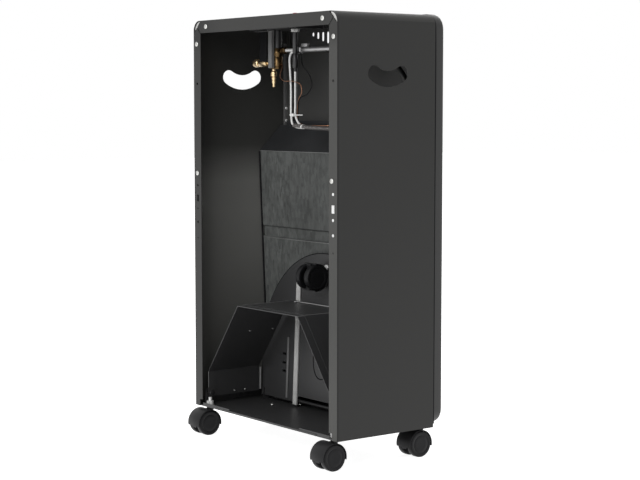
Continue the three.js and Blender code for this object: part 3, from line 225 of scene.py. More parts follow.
def plainMetal(name, look):
    # plated, drawn or turned metal with faint tool lines and stains
    mat, tree, shader = newTree(name)
    lines = noise(tree, placeOnPiece(tree, look["stretch"]), look["lines"], Detail=3.0, Roughness=0.65)
    stain = noise(tree, placeOnPiece(tree), 120.0, Detail=2.0)
    both = mixed(tree, 0.5, lines, stain)
    tree.links.new(ramp(tree, both, shades(look, 0.35, 0.65)), shader.inputs["Base Color"])
    roughBy(tree, shader, both, look, 0.07, 0.08, 0.35, 0.65)
    bumpBy(tree, shader, lines, look["relief"])
    shader.inputs["Metallic"].default_value = look["metal"]
    return mat


def mouldedPlastic(name, look):
    # spark-eroded mould texture
    mat, tree, shader = newTree(name)
    here = placeOnPiece(tree)
    pits = noise(tree, here, look["grain"], Detail=2.0)
    slow = noise(tree, here, 45.0, Detail=2.0)
    tree.links.new(ramp(tree, slow, shades(look, 0.3, 0.7)), shader.inputs["Base Color"])
    roughBy(tree, shader, pits, look, 0.05, 0.05)
    shader.inputs["Specular IOR Level"].default_value = look["gloss"]
    bumpBy(tree, shader, pits, look["pits"])
    return mat


def perforatedCeramic(name, look):
    # rows of fine burner holes in a pressed ceramic face, the holes painted dark as painted shade in their
    # depth
    mat, tree, shader = newTree(name)
    x, y, z = placeApart(tree)
    flat = node(tree, "CombineXYZ", X=x, Y=z).outputs[0]
    holes = node(tree, "TexVoronoi", {"voronoi_dimensions": "2D"}, Vector=flat, Scale=1 / look["pitch"],
                 Randomness=0.0).outputs["Distance"]
    cloud = noise(tree, node(tree, "TexCoord").outputs["Object"], 70.0, Detail=4.0)
    mask = ramp(tree, holes, [(look["hole"], 0.0), (look["hole"] + 0.08, 1.0)])
    body = mixed(tree, mask, look["holeColour"], ramp(tree, cloud, shades(look, 0.3, 0.7)))
    tree.links.new(body, shader.inputs["Base Color"])
    bumpBy(tree, shader, mask, 0.8, 0.0008)
    shader.inputs["Roughness"].default_value = look["roughness"]
    return mat


def braidedSleeve(name, look):
    # woven glass sleeving, seen as a fine diagonal weave
    mat, tree, shader = newTree(name)
    one, two = (node(tree, "TexWave", {"bands_direction": "DIAGONAL"}, Vector=placeOnPiece(tree, lay),
                     Scale=look["weave"]).outputs["Fac"] for lay in ((1, 1, 1), (-1, 1, 1)))
    both = times(tree, one, two)
    tree.links.new(ramp(tree, both, shades(look, 0.0, 1.0)), shader.inputs["Base Color"])
    bumpBy(tree, shader, both, 0.3, 0.0002)
    shader.inputs["Roughness"].default_value = look["roughness"]
    return mat


def grey(value):
    return (value, value, value, 1)


# painted light and shade on the cabinet's coat: gains and ramps by place that stand in for how light falls
# in and on the cabinet
cabinetPaintedLightZones = {
    "innerHalf": 0.2093, "innerRear": 0.1015, "innerTop": 0.7392, "top": grey(0.25), "inner": grey(1.8),
    "deep": [(0.38, 1.0), (0.48, 0.9), (0.6, 0.5)],
    "tall": [(0.05, 0.6), (0.28, 0.84), (0.4, 1.0), (0.455, 0.95), (0.52, 0.28), (0.6, 0.23), (0.68, 0.17)],
    "rear": [(0.1, 0.66), (0.25, 0.5), (0.68, 0.5), (0.705, 0.25)],
    "rearAcross": [(0.3, 1.0), (0.62, 0.96), (0.69, 0.4)],
    "side": [(0.3, 0.19), (0.5985, 0.19), (0.5998, 0.03)],
}
# painted light and shade on the back of the front panel
frontPaintedLightZones = {"innerFront": -0.1241, "across": [(0.366, 0.1), (0.46, 0.16), (0.59, 1.0)], "inner": grey(2.1)}
coatUsual = {"roughness": 0.42, "gloss": 0.5, "spread": 0.04, "cloud": 4, "grain": 1300, "peel": 0.25}
coats = {
    "cabinet_paint": {"colour": (0.116, 0.116, 0.11), "roughness": 0.46, "gloss": 0.32,
                      "zones": cabinetPaintedLightZones, "shadedBy": cabinetPaintedLight},
    "front_paint": {"colour": (0.04, 0.04, 0.039), "zones": frontPaintedLightZones, "shadedBy": frontPaintedLight},
    "chassis_paint": {"colour": (0.035, 0.035, 0.036)},
    "hood_paint": {"colour": (0.024, 0.025, 0.027), "roughness": 0.5, "gloss": 0.45, "spread": 0.16,
                   "cloud": 14},
    "tray_paint": {"colour": (0.03, 0.03, 0.031), "roughness": 0.45},
    "lip_grey": {"colour": (0.06, 0.06, 0.06), "roughness": 0.45, "gloss": 0.4},
    "bracket_grey": {"colour": (0.2, 0.2, 0.2), "roughness": 0.4},
    # also the black of painted shadow lines at the shield's edges and the platform's arch
    "bracket_black": {"colour": (0.006, 0.006, 0.007), "roughness": 0.6, "gloss": 0.12},
}
metalUsual = {"spread": 0.1, "roughness": 0.4, "lines": 700, "relief": 0.05, "metal": 1.0,
              "stretch": (1, 1, 1)}
drawn = (0.1, 1, 1)
metals = {
    "zinc": {"colour": (0.62, 0.62, 0.6), "spread": 0.12, "roughness": 0.32, "lines": 900, "relief": 0.1},
    "rail_zinc": {"colour": (0.6, 0.6, 0.59), "spread": 0.08, "roughness": 0.5, "lines": 500, "relief": 0.08,
                  "metal": 0.35, "stretch": (1, 1, 0.1)},
    "lead_nut": {"colour": (0.9, 0.9, 0.89), "spread": 0.05, "relief": 0.1, "metal": 0.3},
    # also used for painted light: the front edge strips and the guard's fold lines
    "strip_grey": {"colour": (0.18, 0.18, 0.18), "spread": 0.05, "roughness": 0.45, "lines": 600,
                   "metal": 0.1},
    "reflector_sheet": {"colour": (0.6, 0.6, 0.6), "spread": 0.08, "roughness": 0.3, "lines": 400,
                        "stretch": drawn},
    "burner_sheet": {"colour": (0.5, 0.5, 0.49), "lines": 400, "relief": 0.08, "stretch": drawn},
    "pipe_metal": {"colour": (0.42, 0.42, 0.42), "spread": 0.14, "relief": 0.08, "metal": 0.8},
    "chrome_wire": {"colour": (0.75, 0.75, 0.76), "spread": 0.05, "roughness": 0.16, "lines": 800,
                    "relief": 0.02},
    # painted shade: the cast body's brass is far darker than the turned brass
    "brass_casting": {"colour": (0.11, 0.07, 0.032), "spread": 0.3, "roughness": 0.3, "lines": 1100,
                      "relief": 0.15},
    "brass_turned": {"colour": (0.78, 0.6, 0.36), "spread": 0.12, "roughness": 0.36, "lines": 1400,
                     "relief": 0.08},
    # painted highlight on the shield's band and top edge
    "edge_soft": {"colour": (0.26, 0.265, 0.26), "roughness": 0.5, "lines": 300, "metal": 0.3},
    # the clip's finish, also used for painted highlights on the guard
    "edge_bright": {"colour": (0.5, 0.5, 0.5), "spread": 0.06, "metal": 0.4},
    "copper": {"colour": (0.3, 0.15, 0.09), "spread": 0.15, "roughness": 0.35, "lines": 900},
}
plasticUsual = {"spread": 0.05, "grain": 1700, "pits": 0.2, "gloss": 0.5}
plastics = {
    "knob_plastic": {"colour": (0.02, 0.02, 0.021), "roughness": 0.42},
    "black_plastic": {"colour": (0.018, 0.018, 0.019), "roughness": 0.35},
    "white_nut": {"colour": (0.92, 0.92, 0.9), "grain": 900, "roughness": 0.4},
    "red_plastic": {"colour": (0.42, 0.015, 0.02), "grain": 400, "pits": 0.05, "roughness": 0.22},
    "castor_plastic": {"colour": (0.016, 0.016, 0.017), "roughness": 0.45, "gloss": 0.2},
    "wheel_plastic": {"colour": (0.009, 0.009, 0.01), "roughness": 0.42, "gloss": 0.18},
}
zincFlowers = {
    "colour": (0.122, 0.128, 0.124), "spread": 0.36, "roughness": 0.65, "flower": 190, "warp": 60,
    "wander": 0.006, "streak": 0.6, "rolled": 150, "cloud": 11, "metal": 0.25, "half": 0.21,
    # painted shade: darker towards the middle of the sheet
    "across": [(0.0, 0.62), (0.3, 0.66), (0.8, 1.0)],
}
burnerFace = {"colour": (0.7, 0.6, 0.45), "spread": 0.08, "roughness": 0.9, "pitch": 0.0026, "hole": 0.22,
              "holeColour": (0.03, 0.022, 0.015, 1)}
glassBraid = {"colour": (0.9, 0.9, 0.89), "spread": 0.08, "roughness": 0.6, "weave": 260}
# the white glass braid again, darker as painted shade
braidInPaintedShade = {"colour": (0.16, 0.15, 0.145), "spread": 0.55, "roughness": 0.6, "weave": 150}
finishes = {
    "galvanised_sheet": galvanisedSheet("galvanised_sheet", zincFlowers),
    "ceramic": perforatedCeramic("ceramic", burnerFace),
    "white_sleeve": braidedSleeve("white_sleeve", glassBraid),
    "dark_sleeve": braidedSleeve("dark_sleeve", braidInPaintedShade),
}
for kind, usual, looks in ((powderCoat, coatUsual, coats), (plainMetal, metalUsual, metals),
                           (mouldedPlastic, plasticUsual, plastics)):
    finishes.update({name: kind(name, {**usual, **look}) for name, look in looks.items()})
print("finishes made:", len(finishes))


# shared ways of making a piece

def pieceFrom(bm, name, slot, body="cabinet", smoothTo=40, weighted=False, finish=None, replaced=None):
    bmesh.ops.recalc_face_normals(bm, faces=bm.faces)
    mesh = bpy.data.meshes.new(name)
    bm.to_mesh(mesh)
    bm.free()
    mesh.shade_smooth()
    mesh.set_sharp_from_angle(angle=math.radians(smoothTo))
    made = bpy.data.objects.new(name, mesh)
    bpy.context.scene.collection.objects.link(made)
    mesh.materials.append(finishes[finish or slot])
    if weighted:
        even = made.modifiers.new("evenNormals", "WEIGHTED_NORMAL")
        even.keep_sharp = True
    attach(made, body)
    if replaced:
        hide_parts(replaced)
    return made


def moved(base, *offsets):
    # points or profile corners, each written as an offset from the base
    return [tuple(b + o for b, o in zip(base, offset)) for offset in offsets]


def anglesRound(sides):
    return [2 * math.pi * i / sides for i in range(sides)]


def latheInto(bm, profile, sides, matrix=Matrix()):
    # profile is [radius, height] in millimetres about Z; both ends on the axis close it
    turn = anglesRound(sides)
    rings = []
    for r, h in profile:
        spots = [(r * math.cos(a), r * math.sin(a), h) for a in turn] if r > 1e-6 else [(0, 0, h)]
        rings.append([bm.verts.new(matrix @ (Vector(spot) / 1000)) for spot in spots])
    for low, high in zip(rings, rings[1:]):
        for i in range(sides):
            j = (i + 1) % sides
            corners = [low[i % len(low)], low[j % len(low)], high[j % len(high)], high[i % len(high)]]
            corners = [v for k, v in enumerate(corners) if v not in corners[:k]]
            if len(corners) > 2:
                bm.faces.new(corners)


def smoothPath(points, count):
    # centripetal Catmull-Rom through the points
    pts = [Vector(p) for p in points]
    pts = [2 * pts[0] - pts[1]] + pts + [2 * pts[-1] - pts[-2]]
    knots = [0.0]
    for a, b in zip(pts, pts[1:]):
        knots.append(knots[-1] + max((b - a).length, 1e-6) ** 0.5)
    out = []
    first, last = knots[1], knots[-2]
    for i in range(count + 1):
        t = first + (last - first) * i / count
        k = max(j for j in range(1, len(pts) - 2) if knots[j] <= t + 1e-12)
        t0, t1, t2, t3 = knots[k - 1:k + 3]
        p0, p1, p2, p3 = pts[k - 1:k + 3]
        a1 = p0 * ((t1 - t) / (t1 - t0)) + p1 * ((t - t0) / (t1 - t0))
        a2 = p1 * ((t2 - t) / (t2 - t1)) + p2 * ((t - t1) / (t2 - t1))
        a3 = p2 * ((t3 - t) / (t3 - t2)) + p3 * ((t - t2) / (t3 - t2))
        b1 = a1 * ((t2 - t) / (t2 - t0)) + a2 * ((t - t0) / (t2 - t0))
        b2 = a2 * ((t3 - t) / (t3 - t1)) + a3 * ((t - t1) / (t3 - t1))
        out.append(b1 * ((t2 - t) / (t2 - t1)) + b2 * ((t - t1) / (t2 - t1)))
    return out


def aheadAt(path, i):
    return (path[min(i + 1, len(path) - 1)] - path[max(i - 1, 0)]).normalized()


def skinInto(bm, rings, closed=False):
    # quads from ring to ring, capped at both ends unless the last ring meets the first
    for one, two in zip(rings, rings[1:] + rings[:1] if closed else rings[1:]):
        for k in range(len(one)):
            j = (k + 1) % len(one)
            bm.faces.new([one[k], one[j], two[j], two[k]])
    if not closed:
        bm.faces.new(list(reversed(rings[0])))
        bm.faces.new(rings[-1])


def tubeInto(bm, points, radius, sides=12, steps=120):
    path = [at(*p) for p in smoothPath(points, steps)]
    side = None
    rings = []
    for i, here in enumerate(path):
        ahead = aheadAt(path, i)
        side = ahead.orthogonal() if side is None else side - ahead * side.dot(ahead)
        side.normalize()
        other = ahead.cross(side)
        around = [side * math.cos(a) + other * math.sin(a) for a in anglesRound(sides)]
        rings.append([bm.verts.new(here + way * mm(radius)) for way in around])
    skinInto(bm, rings)


def barInto(bm, points, radius, sides=14):
    # straight round bars through corners, in the same millimetres as at()
    for start, end in zip(points, points[1:]):
        a, b = at(*start), at(*end)
        way = (b - a).normalized()
        place = Matrix.Translation(a) @ way.to_track_quat("Z", "Y").to_matrix().to_4x4()
        long = (b - a).length * 1000
        latheInto(bm, [(0, 0), (radius, 0), (radius, long), (0, long)], sides, place)


def breakEdges(bm, edges, width):
    bmesh.ops.bevel(bm, geom=list(edges), offset=mm(width), offset_type="OFFSET", segments=2, profile=0.5,
                    affect="EDGES", clamp_overlap=True)


def blockInto(bm, low, high, matrix=Matrix(), edge=0.4):
    # a block between two corners with its edges broken
    size = Vector(high) - Vector(low)
    middle = (Vector(high) + Vector(low)) / 2
    place = matrix @ Matrix.Translation(middle / 1000) @ Matrix.Diagonal((*(size / 1000), 1))
    made = bmesh.ops.create_cube(bm, size=1.0, matrix=place)
    breakEdges(bm, dict.fromkeys(e for v in made["verts"] for e in v.link_edges), edge)


def mirroredInto(bm, low, high, matrix=Matrix(), edge=0.4):
    # the block between two corners on the right, and its mirror image on the left
    for side in (1, -1):
        near, far = sorted((side * low[0], side * high[0]))
        blockInto(bm, (near, *low[1:]), (far, *high[1:]), matrix, edge)


flatAngle, foldAngle = math.radians(0.4), math.radians(20)


def softened(nodeName, width, finish=None, merged=True):
    # the same pressing with its cut edges broken
    bm = bmesh.new()
    bm.from_mesh(nodes[nodeName].data)
    bmesh.ops.remove_doubles(bm, verts=bm.verts, dist=2e-6)
    if merged:
        bmesh.ops.dissolve_limit(bm, angle_limit=flatAngle, verts=bm.verts, edges=bm.edges)
    breakEdges(bm, [e for e in bm.edges if len(e.link_faces) == 2 and e.calc_face_angle(0) > foldAngle],
               width)
    return pieceFrom(bm, nodeName + "_edged", slotOfNode[nodeName], bodyOfNode[nodeName], weighted=True,
                     finish=finish, replaced=nodeName)


def partlyIn(made, finish, wanted):
    # a second finish on the faces whose middle, in millimetres, passes the test
    made.data.materials.append(finishes[finish])
    for face in made.data.polygons:
        if wanted(face.center * 1000):
            face.material_index = 1


for name, part in nodes.items():
    part.data.materials.clear()
    part.data.materials.append(finishes[slotOfNode[name]])

sheetEdges = {
    "cabinet_wrap": 0.3, "floor_pan": 0.3, "front_panel": 0.3, "reflector": 0.2, "heat_shield": 0.2,
    "draught_hood": 0.25, "control_tray": 0.3, "bottle_guard": 0.3, "bottle_platform": 0.4,
    "corner_gusset_left": 0.3, "corner_gusset_right": 0.3, "valve_bracket": 0.3, "burner_box": 0.6,
    "platform_rail_left": 0.3, "platform_rail_right": 0.3, "ceramic_plaque_1": 0.4, "ceramic_plaque_2": 0.4,
    "ceramic_plaque_3": 0.4,
}
ownFinish = {
    "platform_rail_left": "rail_zinc", "platform_rail_right": "rail_zinc", "valve_bracket": "bracket_grey",
}
blackBeyond = 95  # the bracket's end is black from here on, in millimetres along X
for name, width in sheetEdges.items():
    # the thin rims of the reflector keep their triangles
    made = softened(name, width, finish=ownFinish.get(name), merged=name != "reflector")
    if name == "valve_bracket":
        partlyIn(made, "bracket_black", lambda middle: middle.x > blackBeyond)
print("sheet edges broken:", len(sheetEdges))


def rotation(degrees, axis):
    return Matrix.Rotation(math.radians(degrees), 4, axis)


def upright(place):
    return Matrix.Translation(at(*place))


def xDirection(place, side=1):
    # local Z of a turned piece laid along X, at a place in millimetres
    return upright(place) @ rotation(90 * side, "Y")


def ringInto(bm, profile, sides, matrix):
    # a ring or tube, whose profile ends where it began
    latheInto(bm, profile, sides, matrix)
    bmesh.ops.remove_doubles(bm, verts=bm.verts, dist=1e-7)


def turnedPiece(nodeName, name, profile, sides, matrix, finish=None, make=latheInto):
    # one turned piece in place of a node
    bm = bmesh.new()
    make(bm, profile, sides, matrix)
    pieceFrom(bm, name, slotOfNode[nodeName], bodyOfNode[nodeName], finish=finish, replaced=nodeName)


def rimmed(radius, low, high, edge=0.5):
    # a disc or bar with both rims broken
    return [(0, low), (radius - edge, low), (radius, low + edge), (radius, high - edge),
            (radius - edge, high), (0, high)]


# castors
castorLook = {
    "wheelRadius": 22.0, "axleDrop": 28.8, "trail": 12.0, "outer": 18.2, "inner": 6.5, "web": 6.0,
    "neck": 1.5, "fenderInner": 22.9, "fenderOuter": 24.2, "wheelSides": 72, "fenderSteps": 56,
}
hub = Vector((0, castorLook["trail"], -castorLook["axleDrop"]))
onAxle = Matrix.Translation(hub / 1000)


def castorWheelMesh(matrix, side):
    look = castorLook
    r, out, inn = look["wheelRadius"], look["outer"], look["inner"]
    profile = [
        (0, out - 0.9), (4, out - 0.9), (9, out - 0.75), (14.2, out - 0.35), (14.7, out - 0.7),
        (15.3, out - 0.7), (15.8, out - 0.25), (r - 2.2, out), (r - 1.1, out - 0.35), (r - 0.35, out - 1.1),
        (r, out - 2.2), (r, inn + 1.6), (r - 0.5, inn + 0.5), (r - 1.6, inn), (17.5, inn), (17, inn + 2.5),
        (6.5, inn + 2.5), (6, inn), (2.95, inn), (2.95, out - 1.7), (0, out - 1.7),
    ]
    bm = bmesh.new()
    lie = rotation(90, "Y") @ Matrix.Scale(side, 4, Vector((0, 0, 1)))
    ringInto(bm, profile, look["wheelSides"], matrix @ onAxle @ lie)
    return bm


def arcInto(bm, matrix, section, low, high, steps):
    # a closed section of [x, radius] swept about the axle
    rings = []
    for i in range(steps + 1):
        a = low + (high - low) * i / steps
        spots = [hub + Vector((x, r * math.cos(a), r * math.sin(a))) for x, r in section]
        rings.append([bm.verts.new(matrix @ (spot / 1000)) for spot in spots])
    skinInto(bm, rings)


def castorHoodMesh(matrix):
    look = castorLook
    bm = bmesh.new()
    ri, ro, half, web = look["fenderInner"], look["fenderOuter"], look["outer"], look["web"]
    fender = [
        (-half, ri + 0.25), (-half, ro - 0.5), (-half + 0.15, ro - 0.15), (-half + 0.5, ro), (0, ro),
        (half - 0.5, ro), (half - 0.15, ro - 0.15), (half, ro - 0.5), (half, ri + 0.25), (half - 0.25, ri),
        (-half + 0.25, ri),
    ]
    arcInto(bm, matrix, fender, math.radians(-11.5), math.radians(191.5), look["fenderSteps"])
    disc = [(-web, 2.6), (-web, ri + 0.4), (web, ri + 0.4), (web, 2.6)]
    arcInto(bm, matrix, disc, math.radians(-19.5), math.radians(199.5), look["fenderSteps"])
    top, drop = -look["neck"], -look["axleDrop"]
    flare = [(0, drop + 6), (web, drop + 6), (web, -5.6), (web + 0.9, -4.9), (web + 0.3, -4.3), (web, -3.4),
             (web, top - 0.5), (web - 0.5, top), (0, top)]
    latheInto(bm, flare, 36, matrix)
    rib = [(-web + 0.3, drop + 5), (web - 0.3, drop + 5), (web - 0.3, -5.2), (-web + 0.3, -5.2)]
    corners = [[(x, y, z) for x, z in rib] for y in (0, look["trail"])]
    near, far = [[bm.verts.new(matrix @ (Vector(c) / 1000)) for c in side] for side in corners]
    bm.faces.new(near)
    bm.faces.new(list(reversed(far)))
    for k in range(4):
        j = (k + 1) % 4
        bm.faces.new([near[j], near[k], far[k], far[j]])
    return bm


def castorStemMesh(matrix, plate, studTop, tall):
    look = castorLook
    bm = bmesh.new()
    nutLow = plate + 0.3
    shaft = [(0, -look["axleDrop"] + 6), (3.5, -look["axleDrop"] + 6), (3.5, -1.2), (5.6, -1.2), (6, -0.9),
             (6, -0.3), (3, -0.3), (3, studTop - 0.7), (2.4, studTop), (0, studTop)]
    latheInto(bm, shaft, 32, matrix)
    if tall:
        latheInto(bm, rimmed(6.8, nutLow, nutLow + 1.2, 0.3), 32, matrix)
        nut = moved((0, nutLow), (0, 1.2), (5.6, 1.2), (6.3, 1.7), (6.3, 6.6), (5.4, 7.2), (0, 7.2))
    else:
        nut = rimmed(5.6, nutLow, min(nutLow + 6, studTop - 1), 0.4)
    latheInto(bm, nut, 6, matrix)
    return bm


hinge = (0, -129, 12.5)
platformLean = 2.3943  # degrees
platformPlace = upright(hinge) @ rotation(platformLean, "X")


def platformSpot(x, depth, z):
    return platformPlace @ Matrix.Translation(Vector((x, depth, z)) / 1000)


castorPlaces = {
    f"{row}_{hand}_castor": upright((x, y, 0.8))
    for row, y in (("rear", -14), ("front", -196.5)) for hand, x in (("left", -184), ("right", 184))
}
castorPlaces["platform_castor"] = platformSpot(0, 4.8, 241.5) @ rotation(90, "X") @ rotation(180, "Z")
for name, place in castorPlaces.items():
    for tag, side in (("a", 1), ("b", -1)):
        wheel = f"{name}_wheel_{tag}"
        pieceFrom(castorWheelMesh(place, side), wheel + "_turned", "wheel_plastic", bodyOfNode[wheel],
                  replaced=wheel)
    hood, stem = f"{name}_hood", f"{name}_stem"
    pieceFrom(castorHoodMesh(place), hood + "_shell", "castor_plastic", bodyOfNode[hood], replaced=hood)
    onFloorPan = name != "platform_castor"
    sizes = (1.2, 14.7, True) if onFloorPan else (1.5, 5.0, False)
    pieceFrom(castorStemMesh(place, *sizes), stem + "_nutted", "zinc", bodyOfNode[stem],
              finish="lead_nut" if onFloorPan else None, replaced=stem)
print("castors dressed:", len(castorPlaces))

# gas valve, its magnet, nozzle and bracket sleeve
valveLook = {"x": 75.0, "y": -88.0, "low": 604.0, "top": 640.0}
valveX, valveY, valveLow, valveTop = valveLook["x"], valveLook["y"], valveLook["low"], valveLook["top"]
inletZ = valveLow + 11.5
body = moved((0, valveLow), (0, 0), (6.8, 0), (7.3, 0.6), (7.3, 3), (8.5, 4), (8.5, 20), (7.9, 20.8),
             (7.9, 22), (8.5, 22.8))
body += moved((0, valveTop), (8.5, -4), (7.7, -3), (7.7, -1), (7.2, 0), (3.4, 0), (3.4, -6), (0, -6))
inlet = [(0, 0), (7.5, 0), (7.5, 9), (6.4, 9.6), (6.4, 11), (7.5, 11.6), (7.5, 16.4), (7, 17), (0, 17)]
outlet = [(0, 3.9), (6, 3.9), (6, 8.4), (5, 9), (5, 10.4), (6, 11), (6, 18.4), (5.4, 19), (0, 19)]
bm = bmesh.new()
valveAt = upright((valveX, valveY, 0))
latheInto(bm, body, 40, valveAt)
latheInto(bm, inlet, 32, xDirection((valveX, valveY, inletZ)))
latheInto(bm, outlet, 6, xDirection((valveX, -92, 636), -1))
screwAt = upright((valveX, valveY + 7.4, inletZ + 14)) @ rotation(-90, "X")
latheInto(bm, rimmed(3.2, 0, 2.2, 0.6), 20, screwAt)
blockInto(bm, (-5, -5, valveLow), (5, 5, inletZ), upright((87, valveY, 0)), 0.8)
# the body's brass is very dark, painted shade
pieceFrom(bm, "gas_valve_body", "brass_casting", replaced="gas_valve")
bm = bmesh.new()
collar = [(3.5, valveTop + 0.3), (7, valveTop + 0.3), (7, 670.6), (6.6, 671), (3.5, 671),
          (3.5, valveTop + 0.3)]
ringInto(bm, collar, 36, valveAt)
pieceFrom(bm, "gas_valve_sleeve", "brass_casting", finish="black_plastic")

magnetStart = valveX + 17.3
magnet = [
    (0, 0), (5, 0), (5.5, 0.5), (5.5, 2.5), (5, 3), (3.5, 3.4), (3.5, 12), (6.4, 12.8), (6.9, 13.8),
    (6.9, 36), (6.1, 37.2), (6.1, 38.4), (7.4, 39.8), (7.4, 49.4), (6.8, 51.2), (5.6, 52.6), (2.4, 53),
    (2.2, 54), (0, 54),
]
turnedPiece("safety_magnet", "safety_magnet_turned", magnet, 36, xDirection((magnetStart, valveY, inletZ)),
            finish="brass_turned")

barbTop = valveLow - 0.3
barb = [
    (1.5, -30.6), (2.0, -31), (2.3, -30.8), (2.5, -30), (2.5, -25.4), (3.2, -24.2), (3.8, -20.2),
    (3.6, -19.8), (3.0, -19.5), (4.2, -15.2), (4.0, -14.8), (3.4, -14.5), (3.5, -13.6), (5.0, -12.4),
    (5.4, -11.8), (5.4, -9.2), (5.1, -8.8), (5.4, -8.4), (5.4, -5.2), (5, -4.6), (3.2, -3.2), (3.2, 0),
    (0, 0), (0, -8), (1.5, -8), (1.5, -30.6),
]
turnedPiece("hose_barb", "hose_barb_turned", barb, 32, upright((87, valveY, barbTop)), finish="brass_turned",
            make=ringInto)
print("valve dressed")

# burner pipe with its flare nut, stub and injector
pipeLook = {
    "radius": 4.5, "start": 12.0, "y": -92.0, "z": 636.0, "sideX": -176.0, "back": -174.0, "low": 332.0,
    "blackFrom": -135,
}
pipeStart, pipeY, pipeZ = pipeLook["start"], pipeLook["y"], pipeLook["z"]
pipeSideX, pipeBack, pipeLow = pipeLook["sideX"], pipeLook["back"], pipeLook["low"]
hoodTop = 505.0
burnerSide = 151.8
pipeRoute = [
    (pipeStart, pipeY, pipeZ), (pipeStart - 20, pipeY, pipeZ), ((pipeStart + pipeSideX) / 2, pipeY, pipeZ),
    (pipeSideX + 30, pipeY, pipeZ), (pipeSideX + 6, pipeY - 14, pipeZ - 3),
    (pipeSideX, (pipeY + pipeBack) / 2, pipeZ - 18), (pipeSideX, pipeBack + 6, pipeZ - 52),
    (pipeSideX, pipeBack, pipeZ - 90), (pipeSideX, pipeBack, hoodTop - 25),
    (pipeSideX, pipeBack, pipeLow + 30), (pipeSideX + 4, pipeBack, pipeLow + 6),
    (-burnerSide - 10, pipeBack, pipeLow),
]
bm = bmesh.new()
tubeInto(bm, pipeRoute, pipeLook["radius"], sides=24, steps=150)
flareNut = [(0, -4), (5.4, -4), (7, -2.6), (7, 3.2), (6.4, 3.8), (7, 4.4), (7, 6.6), (5.6, 8), (0, 8)]
latheInto(bm, flareNut, 6, xDirection((pipeStart, pipeY, pipeZ)))
injector = [(0, 0), (6.2, 0), (7, 0.8), (7, 11.4), (5, 14), (0, 14)]
latheInto(bm, injector, 6, xDirection((-burnerSide - 14.3, pipeBack, pipeLow)))
pipe = pieceFrom(bm, "burner_pipe_bent", "pipe_metal", smoothTo=32)
# the far end takes the front's paint, and with it that paint's painted shade
partlyIn(pipe, "front_paint", lambda middle: middle.x < pipeLook["blackFrom"])
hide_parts("burner_pipe")
bm = bmesh.new()
latheInto(bm, rimmed(3, 0, 44.7, 0.4), 28, xDirection((pipeStart - 1, pipeY, pipeZ)))
pieceFrom(bm, "burner_pipe_stub", "pipe_metal", finish="lead_nut")
clipLook = {"x": -1.0, "wide": 8.0, "deep": 3.4, "low": 4.9, "high": 10.4}
bm = bmesh.new()
blockInto(bm, (-clipLook["wide"], -clipLook["deep"], clipLook["low"]),
          (clipLook["wide"], clipLook["deep"], clipLook["high"]), upright((clipLook["x"], pipeY, pipeZ)),
          0.5)
pieceFrom(bm, "burner_pipe_clip", "zinc", finish="edge_bright")
print("pipe bent")

# igniter, knob and spindle
igniterLook = {"x": 12.6, "y": -80.0, "low": 598.6}
igniterX, igniterY, igniterLow = igniterLook["x"], igniterLook["y"], igniterLook["low"]
igniterAt = upright((igniterX, igniterY, 0))
stem = moved((0, igniterLow), (0, 0), (2, 0), (2.5, 0.5), (2.5, 5), (4.2, 6), (4.6, 6.5), (4.6, 30),
             (4.2, 30.5), (4.2, 31.5), (4.6, 32))
stem += [(4.6, 672.8), (7.4, 672.8), (8, 673.3), (8, 675), (7.2, 676), (6.5, 676.5), (6.5, 691.2),
         (5.9, 692), (4.95, 692), (4.95, 673.7), (0, 673.7)]
turnedPiece("igniter_body", "igniter_body_turned", stem, 32, igniterAt)
hexRing = [(5.05, 666), (6.6, 666), (7.2, 666.6), (7.2, 670.4), (6.6, 671), (5.05, 671), (5.05, 666)]
turnedPiece("igniter_nut", "igniter_nut_hex", hexRing, 6, igniterAt, make=ringInto)
button = [(0, 680.3), (4.5, 680.3), (4.5, 696.9), (4.3, 697.7), (3.7, 698.3), (2.6, 698.5), (0, 698.2)]
turnedPiece("igniter_button", "igniter_button_domed", button, 36, igniterAt)
knobLow, flutes = 677.5, 28
skirt = moved((0, knobLow), (3.5, 0), (17.4, 0), (18, 0.6), (18, 3.4), (16.8, 5), (13, 6), (10.6, 7.5),
              (9, 13.5), (7, 14), (3.5, 14), (3.5, 0))
bm = bmesh.new()
ringInto(bm, skirt, 56, valveAt)
for angle in anglesRound(flutes):
    flute = valveAt @ Matrix.Rotation(angle, 4, "Z")
    blockInto(bm, (17.2, -0.6, knobLow + 0.9), (18, 0.6, knobLow + 3.2), flute, 0.2)
blockInto(bm, (-3.6, -15.6, knobLow + 5), (3.6, 15.6, knobLow + 17), valveAt, 1.6)
pieceFrom(bm, "gas_knob_moulded", "knob_plastic", "knob", replaced="gas_knob")
bm = bmesh.new()
blockInto(bm, (-0.6, -14.4, knobLow + 16.7), (0.6, -3, knobLow + 17.15), valveAt, 0.1)
pieceFrom(bm, "gas_knob_pointer", "knob_plastic", "knob", finish="white_nut")
turnedPiece("knob_spindle", "knob_spindle_turned", rimmed(3, 640, 690.2, 0.4), 28, valveAt)
print("igniter and knob dressed")

# leads and capillary
leadLow, leadRadius = 509.0, 1.8
pilotX, pilotY, pilotTop = -120.0, -172.0, 450.4


def towardsPilot(share):
    return igniterX + share * (pilotX - igniterX)


